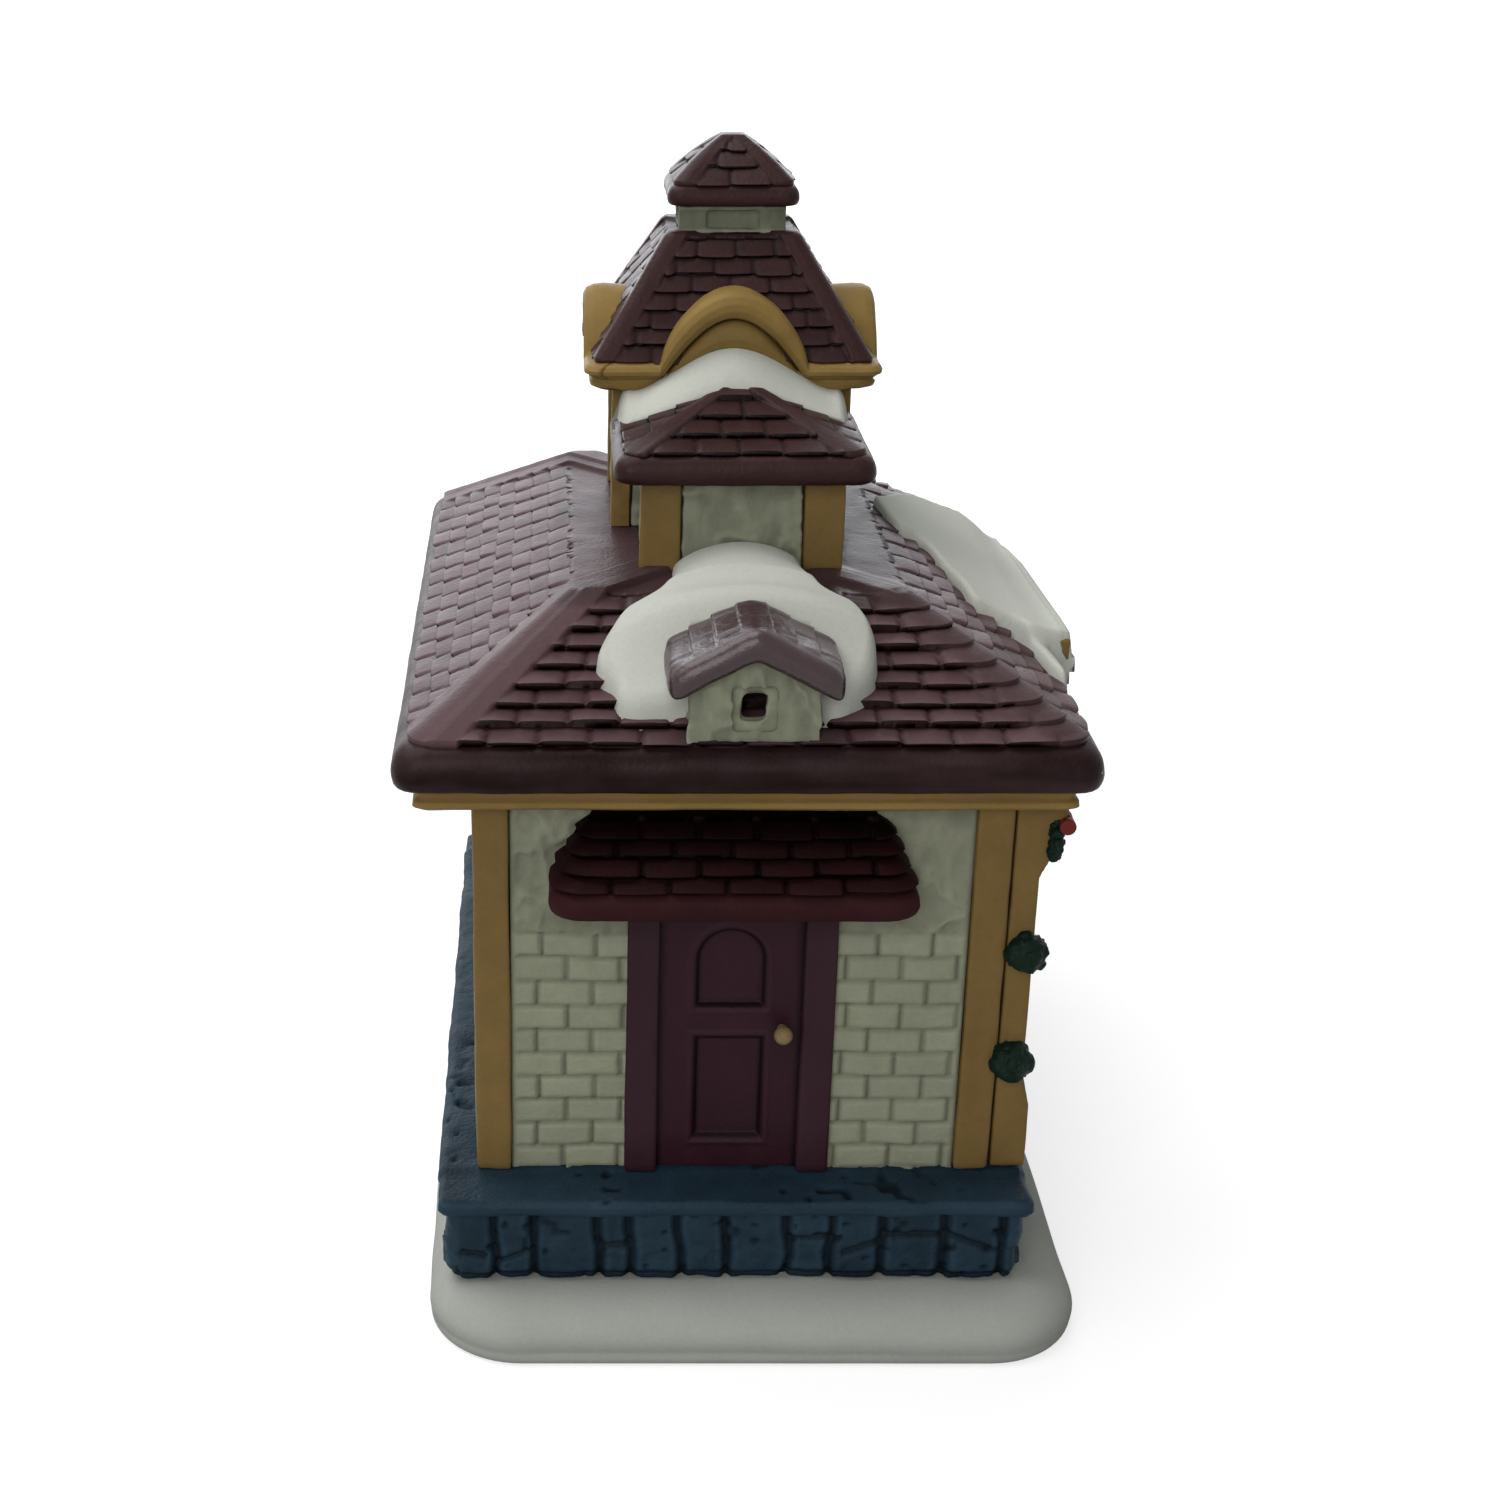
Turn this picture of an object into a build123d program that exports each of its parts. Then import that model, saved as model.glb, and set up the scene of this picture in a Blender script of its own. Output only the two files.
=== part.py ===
from build123d import *
import os

# Lighted christmas village house of painted bisque porcelain, cast in pieces that are luted together.
# Millimetres, +Z up. The origin is on the ground under the middle of the house.
# The small door end faces -Y, the long street front faces +X and the plain long side faces -X.

# Main block
eave_width = 100.0
eave_length = 130.0
side_overhang = 11.0
end_overhang = 6.5
wall_height = 61.0
wall_thickness = 3.5
post_size = 5.6
post_proud = 0.8
post_round = 0.8

# Snow base
base_height = 9.0
base_floor = 4.0
base_corner = 15.0
base_round = 2.6
base_foot = 0.8
base_plain_margin = 3.0
base_street_margin = 9.0
base_end_margin = 10.5

# Stone foundation and its ledge
stone_height = 11.0
stone_side_reach = 4.8
stone_end_reach = 8.0
stone_round = 1.5
ledge_height = 2.7
ledge_lip = 0.8
ledge_round = 1.0

# Door end
door_x = -1.0
leaf_width = 21.0
leaf_height = 43.0
leaf_inset = 0.6
frame_side = 5.0
frame_head = 3.5
frame_proud = 1.2
frame_round = 0.6
leaf_panel_width = 10.7
leaf_panel_depth = 0.8
lower_panel_foot = 4.8
lower_panel_height = 17.8
upper_panel_foot = 27.2
upper_panel_height = 13.3
knob_radius = 1.4
knob_stem_radius = 0.8
knob_stem_length = 0.9
knob_side = 2.7
knob_height = 24.0

# Canopy over the door
canopy_x = -1.4
canopy_width = 52.8
canopy_reach = 9.8
canopy_roll = 4.0
canopy_corner = 3.0
canopy_rise = 9.2
canopy_top_width = 41.0
canopy_top_reach = 2.0
canopy_courses = 3

# Eave and main roof
fascia_height = 4.0
fascia_set = 2.7
fascia_round = 1.2
eave_roll = 6.3
eave_corner = 5.0
eave_lap = 0.8
roof_rise = 14.0
deck_width = 49.0
deck_length = 76.0
roof_courses = 8
roof_butt = 0.5
roof_shell = 4.5
roll_share = 0.42

# Dormer on the front slope
dormer_x = 0.6
dormer_width = 18.6
dormer_set = 2.0
dormer_depth = 12.0
dormer_wall = 2.5
dormer_eave_rise = 9.1
dormer_pitch = 0.55
dormer_roof_thickness = 3.8
dormer_roof_reach = 2.4
dormer_roof_front = 3.2
dormer_roof_length = 15.0
dormer_roof_round = 1.2
window_width = 3.2
window_height = 3.5
window_sill = 3.9
window_margin = 1.2
window_recess = 0.8

# Bay in front of the tower
bay_x = 1.0
bay_width = 30.6
bay_reach = 23.7
bay_height = 14.5
bay_wall = 4.5
bay_post_width = 6.2
bay_post_depth = 3.2
bay_post_proud = 0.6
bay_eave_reach = 4.0
bay_eave_front = 4.5
bay_roll = 4.2
bay_corner = 3.0
bay_ridge_width = 1.6
bay_ridge_length = 7.0
bay_rise = 3.9
bay_courses = 4

# Tower
tower_x = 0.6
tower_y = 10.0
tower_width = 36.4
tower_depth = 28.0
tower_height = 23.0
tower_wall = 3.0
tower_post = 3.1
tower_post_proud = 0.5
cornice_reach = 4.0
cornice_height = 4.2
cornice_round = 1.2
arch_half_width = 15.7
arch_rise = 8.8
arch_recess = 3.0
hood_half_width = 14.0
hood_rise = 10.2
side_hood_half_width = 12.5
side_hood_rise = 9.2
hood_round = 2.0
hood_proud = 0.6
tower_roof_set = 0.8
tower_roof_rise = 17.8
tower_top_width = 20.0
tower_top_depth = 17.2
tower_courses = 7
tower_butt = 0.4
tower_shell = 3.0

# Cupola
cupola_width = 16.8
cupola_depth = 14.4
cupola_height = 4.3
cupola_panel_width = 8.0
cupola_panel_height = 2.6
cupola_panel_depth = 0.6
cupola_eave_reach = 1.8
cupola_roll = 2.6
cupola_corner = 1.8
cupola_rise = 7.4
cupola_tip = 2.4
cupola_courses = 4
cupola_butt = 0.25

# Street front
pilaster_width = 4.4
pilaster_depth = 4.2
plinth_height = 17.0
plinth_step = 6.0
plinth_reach = 1.4
corbel_height = 12.0
corbel_reach = 3.4
middle_pilaster_y = 26.0
parapet_half_length = 29.0
parapet_proud = 1.2
parapet_depth = 3.9
parapet_foot = 1.0
parapet_over = 3.9
parapet_recess = 1.2
parapet_arch_half = 20.0
parapet_arch_rise = 6.0
entrance_width = 18.0
entrance_height = 42.0
entrance_frame = 3.0
entrance_proud = 1.4
entrance_leaf = 2.2
arched_window_width = 11.0
arched_window_height = 29.0
arched_window_sill = 17.0
arched_window_frame = 2.0
arched_window_proud = 0.9
arched_window_bar = 1.3
arched_window_bar_depth = 1.6
film_thickness = 0.5
film_margin = 2.0
street_window_y = 39.5
back_window_y = 24.0

# Snow on the roofs
drift_span = 26.0
drift_front_half = 16.0
drift_middle_half = 20.0
drift_edge_half = 13.5
drift_front_rise = 3.2
drift_middle_rise = 8.0
drift_edge_rise = 6.5
drift_back_rise = 5.5
drift_front_set = 5.0
drift_shoulder = 12.0
bay_snow_half = 16.6
bay_snow_rise = 10.6
bay_snow_front_rise = 4.5
bay_snow_sink = 8.0
bay_snow_depth = 8.0
street_snow_depth = 3.2
street_snow_droop = 1.6
street_snow_back_set = 3.0
street_snow_edge = (
    (0.06, 18.7),
    (0.1, 1.0),
    (0.33, -0.5),
    (0.47, -9.0),
    (0.48, -20.0),
    (0.7, -17.5),
    (0.81, -24.0),
    (0.97, -40.0),
)

# Christmas greens
bunch_radius = 3.5
upper_bunch_height = 37.6
lower_bunch_height = 19.4
bunch_front = 0.6
upper_bunch_out = 2.7
lower_bunch_out = 1.8
wreath_ring = 2.7
wreath_tube = 1.3
wreath_height = 54.8
wreath_out = 1.6
bow_knot = 1.3
bow_loop_length = 3.6
bow_loop_radius = 1.2

# Lamp that clips into the hole of the rear wall
lamp_height = 30.0
lamp_hole_radius = 14.0
lamp_seat_gap = 0.2
lamp_clearance = 0.4
flange_radius = 17.0
flange_thickness = 2.4
inlet_radius = 3.6
inlet_length = 3.6
cord_bore_radius = 1.7
socket_radius = 8.6
socket_length = 20.0
socket_bottom = 3.0
clip_length = 18.0
clip_thickness = 0.6
clip_width = 5.0
clip_root_radius = 10.6
contact_radius = 2.2
contact_height = 1.4
contact_gap = 0.3
cap_radius = 5.8
cap_length = 15.0
cap_clearance = 0.35
thread_depth = 0.5
thread_count = 5
glass_radius = 10.8
glass_length = 37.0
glass_neck_radius = 5.0
glass_thickness = 0.8
glass_tip_radius = 2.4

# Levels from the ground up
stone_level = base_height
ledge_level = stone_level + stone_height
floor_level = ledge_level + ledge_height
wall_level = floor_level + wall_height
eave_level = wall_level + fascia_height
course_level = eave_level + eave_roll
deck_level = course_level + roof_rise
cornice_level = deck_level + tower_height
tower_roof_level = cornice_level + cornice_height
cupola_level = tower_roof_level + tower_roof_rise
cupola_roof_level = cupola_level + cupola_height

# Half sizes of the main block
eave_x = eave_width / 2
eave_y = eave_length / 2
wall_x = eave_x - side_overhang
wall_y = eave_y - end_overhang
panel_x = wall_x - post_proud
panel_y = wall_y - post_proud
room_x = panel_x - wall_thickness
room_y = panel_y - wall_thickness
between_posts_x = wall_x - post_size
between_posts_y = wall_y - post_size
stone_x = wall_x + stone_side_reach
stone_y = wall_y + stone_end_reach
ledge_x = stone_x + ledge_lip
ledge_y = stone_y + ledge_lip
fascia_x = eave_x - fascia_set
fascia_y = eave_y - fascia_set
base_left = stone_x + base_plain_margin
base_right = stone_x + base_street_margin
base_end = stone_y + base_end_margin
base_middle = (base_right - base_left) / 2

# Faces of the wall panels: local x runs right as seen from outside, local y up from the floor
front_face = Plane((0, -panel_y, floor_level), x_dir=(1, 0, 0), z_dir=(0, -1, 0))
rear_face = Plane((0, panel_y, floor_level), x_dir=(-1, 0, 0), z_dir=(0, 1, 0))
street_face = Plane((panel_x, 0, floor_level), x_dir=(0, 1, 0), z_dir=(1, 0, 0))
back_face = Plane((-panel_x, 0, floor_level), x_dir=(0, -1, 0), z_dir=(-1, 0, 0))
standing = (Align.CENTER, Align.MIN)

os.makedirs("parts", exist_ok=True)


def keep(piece, label):
    """Label a finished piece and write it to its own file."""
    piece.part.label = label
    export_step(piece.part, f"parts/{label}.step")


def stepped_hip(x, y, low_level, high_level, low, high, courses, butt):
    """Solid hip roof of shingle courses, each course overhanging the one below by its butt."""
    with BuildPart() as hip:
        for course in range(courses):
            for step, lap in ((course, 0.0), (course + 1, butt)):
                share = step / courses
                level = low_level + (high_level - low_level) * share
                width = low[0] + (high[0] - low[0]) * share - 2 * lap
                length = low[1] + (high[1] - low[1]) * share - 2 * lap
                with BuildSketch(Plane((x, y, level))):
                    Rectangle(width, length)
            loft(ruled=True)
    return hip.part


def rolled_slab(x, y, level, width, length, height, corner):
    """Slab with round corners and a rolled edge, as a thick eave."""
    with BuildPart() as slab:
        with BuildSketch(Plane((x, y, level))):
            RectangleRounded(width, length, corner)
        extrude(amount=height)
        flat_faces = slab.faces().filter_by(Axis.Z)
        fillet(flat_faces.edges(), height * roll_share)
    return slab.part


def arched(width, height):
    """Upright outline with a half-round head, standing on the local x axis."""
    with BuildSketch() as outline:
        Rectangle(width, height - width / 2, align=standing)
        with Locations((0, height - width / 2)):
            Circle(width / 2)
    return outline.sketch


def frame_ring(low_level, height, outer_x, outer_y, inner_x, inner_y):
    """Rectangular ring about the house's middle."""
    with BuildPart() as ring:
        with BuildSketch(Plane.XY.offset(low_level)):
            Rectangle(2 * outer_x, 2 * outer_y)
            Rectangle(2 * inner_x, 2 * inner_y, mode=Mode.SUBTRACT)
        extrude(amount=height)
    return ring.part


# Snow-covered base: a slab with soft edges and a pocket under the room
with BuildPart() as snow_base:
    with BuildSketch(Plane((base_middle, 0, 0))):
        RectangleRounded(base_left + base_right, 2 * base_end, base_corner)
    extrude(amount=base_height)
    fillet(snow_base.edges().group_by(Axis.Z)[-1], base_round)
    chamfer(snow_base.edges().group_by(Axis.Z)[0], base_foot)
    with BuildSketch(Plane.XY.offset(base_floor)):
        Rectangle(2 * room_x, 2 * room_y)
    extrude(amount=base_height - base_floor, mode=Mode.SUBTRACT)
keep(snow_base, "snow_base")

# Rubble foundation and the dressed ledge on it
with BuildPart() as foundation_stones:
    add(frame_ring(stone_level, stone_height, stone_x, stone_y, room_x, room_y))
    corners = foundation_stones.edges().filter_by(Axis.Z).sort_by(lambda e: e.center().length)[-4:]
    fillet(corners, stone_round)
keep(foundation_stones, "foundation_stones")

with BuildPart() as foundation_ledge:
    add(frame_ring(ledge_level, ledge_height, ledge_x, ledge_y, room_x, room_y))
    outside = foundation_ledge.faces().sort_by(lambda f: f.center().length)[-4:]
    fillet(outside.edges().group_by(Axis.Z)[-1], ledge_round)
keep(foundation_ledge, "foundation_ledge")

# Corner posts
post_places = {
    "front_left": (-1, -1),
    "front_right": (1, -1),
    "rear_left": (-1, 1),
    "rear_right": (1, 1),
}
for corner_name, (side_x, side_y) in post_places.items():
    post_x = side_x * (wall_x - post_size / 2)
    post_y = side_y * (wall_y - post_size / 2)
    with BuildPart() as corner_post:
        with BuildSketch(Plane((post_x, post_y, floor_level))):
            Rectangle(post_size, post_size)
        extrude(amount=wall_height)
        outer_edge = corner_post.edges().filter_by(Axis.Z).sort_by(lambda e: e.center().length)[-1]
        fillet(outer_edge, post_round)
    keep(corner_post, f"corner_post_{corner_name}")

# Door end wall, door surround, door leaf and knob
frame_width = leaf_width + 2 * frame_side
frame_height = leaf_height + frame_head
with BuildPart() as front_wall:
    with BuildSketch(front_face):
        Rectangle(2 * between_posts_x, wall_height, align=standing)
        with Locations((door_x, 0)):
            Rectangle(frame_width, frame_height, align=standing, mode=Mode.SUBTRACT)
    extrude(amount=-wall_thickness)
keep(front_wall, "front_wall")

with BuildPart() as door_frame:
    with BuildSketch(front_face.offset(-wall_thickness)):
        with Locations((door_x, 0)):
            Rectangle(frame_width, frame_height, align=standing)
            Rectangle(leaf_width, leaf_height, align=standing, mode=Mode.SUBTRACT)
    extrude(amount=wall_thickness + frame_proud)
    fillet(door_frame.faces().sort_by(Axis.Y)[0].edges().filter_by(Axis.Z), frame_round)
keep(door_frame, "door_frame")

with BuildPart() as door_leaf:
    with BuildSketch(front_face.offset(-wall_thickness)):
        with Locations((door_x, 0)):
            Rectangle(leaf_width, leaf_height, align=standing)
    extrude(amount=wall_thickness - leaf_inset)
    with BuildSketch(front_face.offset(-leaf_inset)):
        with Locations((door_x, upper_panel_foot)):
            add(arched(leaf_panel_width, upper_panel_height))
        with Locations((door_x, lower_panel_foot)):
            Rectangle(leaf_panel_width, lower_panel_height, align=standing)
    extrude(amount=-leaf_panel_depth, mode=Mode.SUBTRACT)
keep(door_leaf, "door_leaf")

knob_x = door_x + leaf_width / 2 - knob_side
knob_face = -panel_y + leaf_inset
with BuildPart() as door_knob:
    with BuildSketch(front_face.offset(-leaf_inset)):
        with Locations((knob_x, knob_height)):
            Circle(knob_stem_radius)
    extrude(amount=knob_stem_length + knob_radius / 2)
    with Locations((knob_x, knob_face - knob_stem_length - knob_radius, floor_level + knob_height)):
        Sphere(knob_radius)
keep(door_knob, "door_knob")

# Shingled canopy over the door, cut flat where it is luted to the wall
canopy_level = floor_level + frame_height
canopy_course_level = canopy_level + canopy_roll
with BuildPart() as door_canopy:
    add(
        rolled_slab(
            canopy_x, -panel_y, canopy_level, canopy_width, 2 * canopy_reach, canopy_roll, canopy_corner
        )
    )
    add(
        stepped_hip(
            canopy_x,
            -panel_y,
            canopy_course_level,
            canopy_course_level + canopy_rise,
            (canopy_width - 2 * eave_lap, 2 * canopy_reach - 2 * eave_lap),
            (canopy_top_width, 2 * canopy_top_reach),
            canopy_courses,
            roof_butt,
        )
    )
    split(bisect_by=front_face, keep=Keep.TOP)
keep(door_canopy, "door_canopy")

# Rear end wall with the round lamp hole
with BuildPart() as rear_wall:
    with BuildSketch(rear_face):
        Rectangle(2 * between_posts_x, wall_height, align=standing)
        with Locations((0, lamp_height)):
            Circle(lamp_hole_radius, mode=Mode.SUBTRACT)
    extrude(amount=-wall_thickness)
keep(rear_wall, "rear_wall")

# Street front: wall with the arched entrance between arched windows
entrance_outer = entrance_width + 2 * entrance_frame
entrance_outer_height = entrance_height + entrance_frame
window_outer = arched_window_width + 2 * arched_window_frame
window_outer_height = arched_window_height + 2 * arched_window_frame
with BuildPart() as street_wall:
    with BuildSketch(street_face):
        Rectangle(2 * between_posts_y, wall_height, align=standing)
        add(arched(entrance_outer, entrance_outer_height), mode=Mode.SUBTRACT)
        with Locations((-street_window_y, arched_window_sill), (street_window_y, arched_window_sill)):
            add(arched(window_outer, window_outer_height), mode=Mode.SUBTRACT)
    extrude(amount=-wall_thickness)
keep(street_wall, "street_wall")

with BuildPart() as entrance_surround:
    with BuildSketch(street_face.offset(-wall_thickness)):
        add(arched(entrance_outer, entrance_outer_height))
        add(arched(entrance_width, entrance_height), mode=Mode.SUBTRACT)
    extrude(amount=wall_thickness + entrance_proud)
keep(entrance_surround, "entrance_surround")

for leaf_name, leaf_side in (("front", -1), ("rear", 1)):
    with BuildPart() as entrance_door:
        with BuildSketch(street_face.offset(-wall_thickness)):
            add(arched(entrance_width, entrance_height))
            with Locations((-leaf_side * entrance_width / 2, 0)):
                Rectangle(entrance_width, entrance_height, align=standing, mode=Mode.SUBTRACT)
        extrude(amount=entrance_leaf)
    keep(entrance_door, f"entrance_door_{leaf_name}")

# Plain long wall with two arched windows
with BuildPart() as back_wall:
    with BuildSketch(back_face):
        Rectangle(2 * between_posts_y, wall_height, align=standing)
        with Locations((-back_window_y, arched_window_sill), (back_window_y, arched_window_sill)):
            add(arched(window_outer, window_outer_height), mode=Mode.SUBTRACT)
    extrude(amount=-wall_thickness)
keep(back_wall, "back_wall")


def arched_window(wall_face, place):
    """Window frame with its bars, filling an arched hole of a wall."""
    bar_height = arched_window_frame + arched_window_height / 2
    with BuildPart() as window:
        with BuildSketch(wall_face.offset(-wall_thickness)):
            with Locations((place, arched_window_sill)):
                add(arched(window_outer, window_outer_height))
            with Locations((place, arched_window_sill + arched_window_frame)):
                add(arched(arched_window_width, arched_window_height), mode=Mode.SUBTRACT)
        extrude(amount=wall_thickness + arched_window_proud)
        with BuildSketch(wall_face.offset(-arched_window_bar_depth)):
            with Locations((place, arched_window_sill + arched_window_frame)):
                Rectangle(arched_window_bar, arched_window_height, align=standing)
            with Locations((place, arched_window_sill + bar_height)):
                Rectangle(arched_window_width, arched_window_bar)
        extrude(amount=arched_window_bar_depth)
    return window


def window_film(wall_face, reach):
    """Strip of frosted film glued along the inside of a wall, behind its openings."""
    with BuildPart() as film:
        with BuildSketch(wall_face.offset(-wall_thickness - film_thickness)):
            with Locations((0, arched_window_sill - film_margin)):
                Rectangle(2 * reach, window_outer_height + 2 * film_margin, align=standing)
        extrude(amount=film_thickness)
    return film


window_places = {
    "street_front": (street_face, -street_window_y),
    "street_rear": (street_face, street_window_y),
    "back_rear": (back_face, -back_window_y),
    "back_front": (back_face, back_window_y),
}
for window_name, (wall_face, place) in window_places.items():
    keep(arched_window(wall_face, place), f"window_frame_{window_name}")
film_overlap = window_outer / 2 + film_margin
keep(window_film(street_face, street_window_y + film_overlap), "window_film_street")
keep(window_film(back_face, back_window_y + film_overlap), "window_film_back")

# Painted fascia under the eave
with BuildPart() as eave_fascia:
    add(frame_ring(wall_level, fascia_height, fascia_x, fascia_y, room_x, room_y))
    outside = eave_fascia.faces().sort_by(lambda f: f.center().length)[-4:]
    fillet(outside.edges().group_by(Axis.Z)[0], fascia_round)
keep(eave_fascia, "eave_fascia")

# Low parapet over the entrance, standing in a gap of the eave
parapet_face = eave_x + parapet_proud
parapet_level = eave_level + parapet_foot
parapet_top = course_level + parapet_over
parapet_arch = (parapet_arch_half**2 + parapet_arch_rise**2) / (2 * parapet_arch_rise)
parapet_plane = Plane((parapet_face, 0, parapet_level), x_dir=(0, 1, 0), z_dir=(1, 0, 0))
with BuildPart() as parapet_block:
    with BuildSketch(parapet_plane):
        Rectangle(2 * parapet_half_length, parapet_top - parapet_level, align=standing)
    extrude(amount=-parapet_depth)
with BuildPart() as street_parapet:
    add(parapet_block.part)
    with BuildSketch(parapet_plane):
        with Locations((0, parapet_arch_rise - parapet_arch)):
            Circle(parapet_arch)
        with Locations((0, 0)):
            Rectangle(4 * parapet_arch, 4 * parapet_arch, align=(Align.CENTER, Align.MAX), mode=Mode.SUBTRACT)
    extrude(amount=-parapet_recess, mode=Mode.SUBTRACT)
keep(street_parapet, "street_parapet")

# Main roof: a shingled hip with a rolled eave and a flat top, hollow and open under the tower
tower_inner_width = tower_width - 2 * tower_wall
tower_inner_depth = tower_depth - 2 * tower_wall
with BuildPart() as roof_block:
    add(rolled_slab(0, 0, eave_level, eave_width, eave_length, eave_roll, eave_corner))
    add(
        stepped_hip(
            0,
            0,
            course_level,
            deck_level,
            (eave_width - 2 * eave_lap, eave_length - 2 * eave_lap),
            (deck_width + 2 * roof_butt, deck_length + 2 * roof_butt),
            roof_courses,
            roof_butt,
        )
    )
    add(parapet_block.part, mode=Mode.SUBTRACT)
with BuildPart() as main_roof:
    add(roof_block.part)
    with BuildSketch(Plane.XY.offset(eave_level)):
        Rectangle(2 * room_x, 2 * room_y)
    with BuildSketch(Plane.XY.offset(deck_level - roof_shell)):
        Rectangle(deck_width - 2 * roof_shell, deck_length - 2 * roof_shell)
    loft(ruled=True, mode=Mode.SUBTRACT)
    with BuildSketch(Plane((tower_x, tower_y, deck_level))):
        Rectangle(tower_inner_width, tower_inner_depth)
    extrude(amount=-roof_shell, mode=Mode.SUBTRACT)
keep(main_roof, "main_roof")

# Dormer on the front slope: gabled walls with an open window, and a gable roof
dormer_y = -eave_y + dormer_set
dormer_half = dormer_width / 2
dormer_eave_level = course_level + dormer_eave_rise
dormer_apex_level = dormer_eave_level + dormer_half * dormer_pitch
dormer_face = Plane((dormer_x, dormer_y, 0), x_dir=(1, 0, 0), z_dir=(0, -1, 0))
with BuildPart() as dormer_block:
    with BuildSketch(dormer_face):
        Polygon(
            (-dormer_half, course_level),
            (dormer_half, course_level),
            (dormer_half, dormer_eave_level),
            (0, dormer_apex_level),
            (-dormer_half, dormer_eave_level),
            align=None,
        )
    extrude(amount=-dormer_depth)
    add(roof_block.part, mode=Mode.SUBTRACT)
dormer_inner = dormer_half - dormer_wall
with BuildPart() as dormer_walls:
    add(dormer_block.part)
    with BuildSketch(dormer_face.offset(-dormer_wall)):
        Polygon(
            (-dormer_inner, course_level),
            (dormer_inner, course_level),
            (dormer_inner, dormer_eave_level - dormer_wall / 2),
            (0, dormer_apex_level - dormer_wall),
            (-dormer_inner, dormer_eave_level - dormer_wall / 2),
            align=None,
        )
    extrude(amount=-(dormer_depth - 2 * dormer_wall), mode=Mode.SUBTRACT)
    with BuildSketch(dormer_face):
        with Locations((0, course_level + window_sill)):
            Rectangle(window_width, window_height, align=standing)
    extrude(amount=-dormer_wall, mode=Mode.SUBTRACT)
    with BuildSketch(dormer_face):
        with Locations((0, course_level + window_sill - window_margin)):
            Rectangle(
                window_width + 2 * window_margin, window_height + 2 * window_margin, align=standing
            )
    extrude(amount=-window_recess, mode=Mode.SUBTRACT)
keep(dormer_walls, "dormer_walls")

dormer_roof_half = dormer_half + dormer_roof_reach
dormer_roof_foot = dormer_apex_level - dormer_roof_half * dormer_pitch
with BuildPart() as dormer_roof:
    with BuildSketch(dormer_face.offset(dormer_roof_front)):
        Polygon(
            (-dormer_roof_half, dormer_roof_foot),
            (0, dormer_apex_level),
            (dormer_roof_half, dormer_roof_foot),
            (dormer_roof_half, dormer_roof_foot + dormer_roof_thickness),
            (0, dormer_apex_level + dormer_roof_thickness),
            (-dormer_roof_half, dormer_roof_foot + dormer_roof_thickness),
            align=None,
        )
    extrude(amount=-dormer_roof_length)
    fillet(dormer_roof.edges().filter_by(Axis.Y).sort_by(Axis.Z)[-1], dormer_roof_round)
    add(roof_block.part, mode=Mode.SUBTRACT)
keep(dormer_roof, "dormer_roof")

# Tower walls with thin posts let into their corners
tower_post_x = tower_width / 2 + tower_post_proud - tower_post / 2
tower_post_y = tower_depth / 2 + tower_post_proud - tower_post / 2
tower_plane = Plane((tower_x, tower_y, deck_level))
with BuildPart() as tower_posts:
    with BuildSketch(tower_plane):
        with GridLocations(2 * tower_post_x, 2 * tower_post_y, 2, 2):
            Rectangle(tower_post, tower_post)
    extrude(amount=tower_height)
keep(tower_posts, "tower_posts")

with BuildPart() as tower_walls:
    with BuildSketch(tower_plane):
        Rectangle(tower_width, tower_depth)
        Rectangle(tower_inner_width, tower_inner_depth, mode=Mode.SUBTRACT)
        with GridLocations(2 * tower_post_x, 2 * tower_post_y, 2, 2):
            Rectangle(tower_post, tower_post, mode=Mode.SUBTRACT)
    extrude(amount=tower_height)
keep(tower_walls, "tower_walls")

# Bay in front of the tower: plastered walls between two posts, under a hip roof
tower_front = tower_y - tower_depth / 2
bay_front = tower_front - bay_reach
bay_level = deck_level + bay_height
bay_plane = Plane((bay_x, tower_front, deck_level))
bay_outer = bay_width / 2 - bay_post_proud
bay_inner = bay_outer - bay_wall
bay_panel_reach = bay_reach - bay_post_proud
bay_post_place = (bay_width - bay_post_width) / 2
deepest = (Align.CENTER, Align.MAX)
with BuildPart() as bay_walls:
    with BuildSketch(bay_plane):
        Rectangle(2 * bay_outer, bay_panel_reach, align=deepest)
        Rectangle(2 * bay_inner, bay_panel_reach - bay_wall, align=deepest, mode=Mode.SUBTRACT)
        with Locations((-bay_post_place, -bay_reach), (bay_post_place, -bay_reach)):
            Rectangle(bay_post_width, bay_post_depth, align=standing, mode=Mode.SUBTRACT)
        with GridLocations(2 * (tower_post_x + tower_x - bay_x), 0, 2, 1):
            Rectangle(tower_post, 2 * tower_post_proud, mode=Mode.SUBTRACT)
    extrude(amount=bay_height)
keep(bay_walls, "bay_walls")

for post_name, post_side in (("left", -1), ("right", 1)):
    with BuildPart() as bay_post:
        with BuildSketch(bay_plane):
            with Locations((post_side * bay_post_place, -bay_reach)):
                Rectangle(bay_post_width, bay_post_depth, align=standing)
        extrude(amount=bay_height)
    keep(bay_post, f"bay_post_{post_name}")

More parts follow.
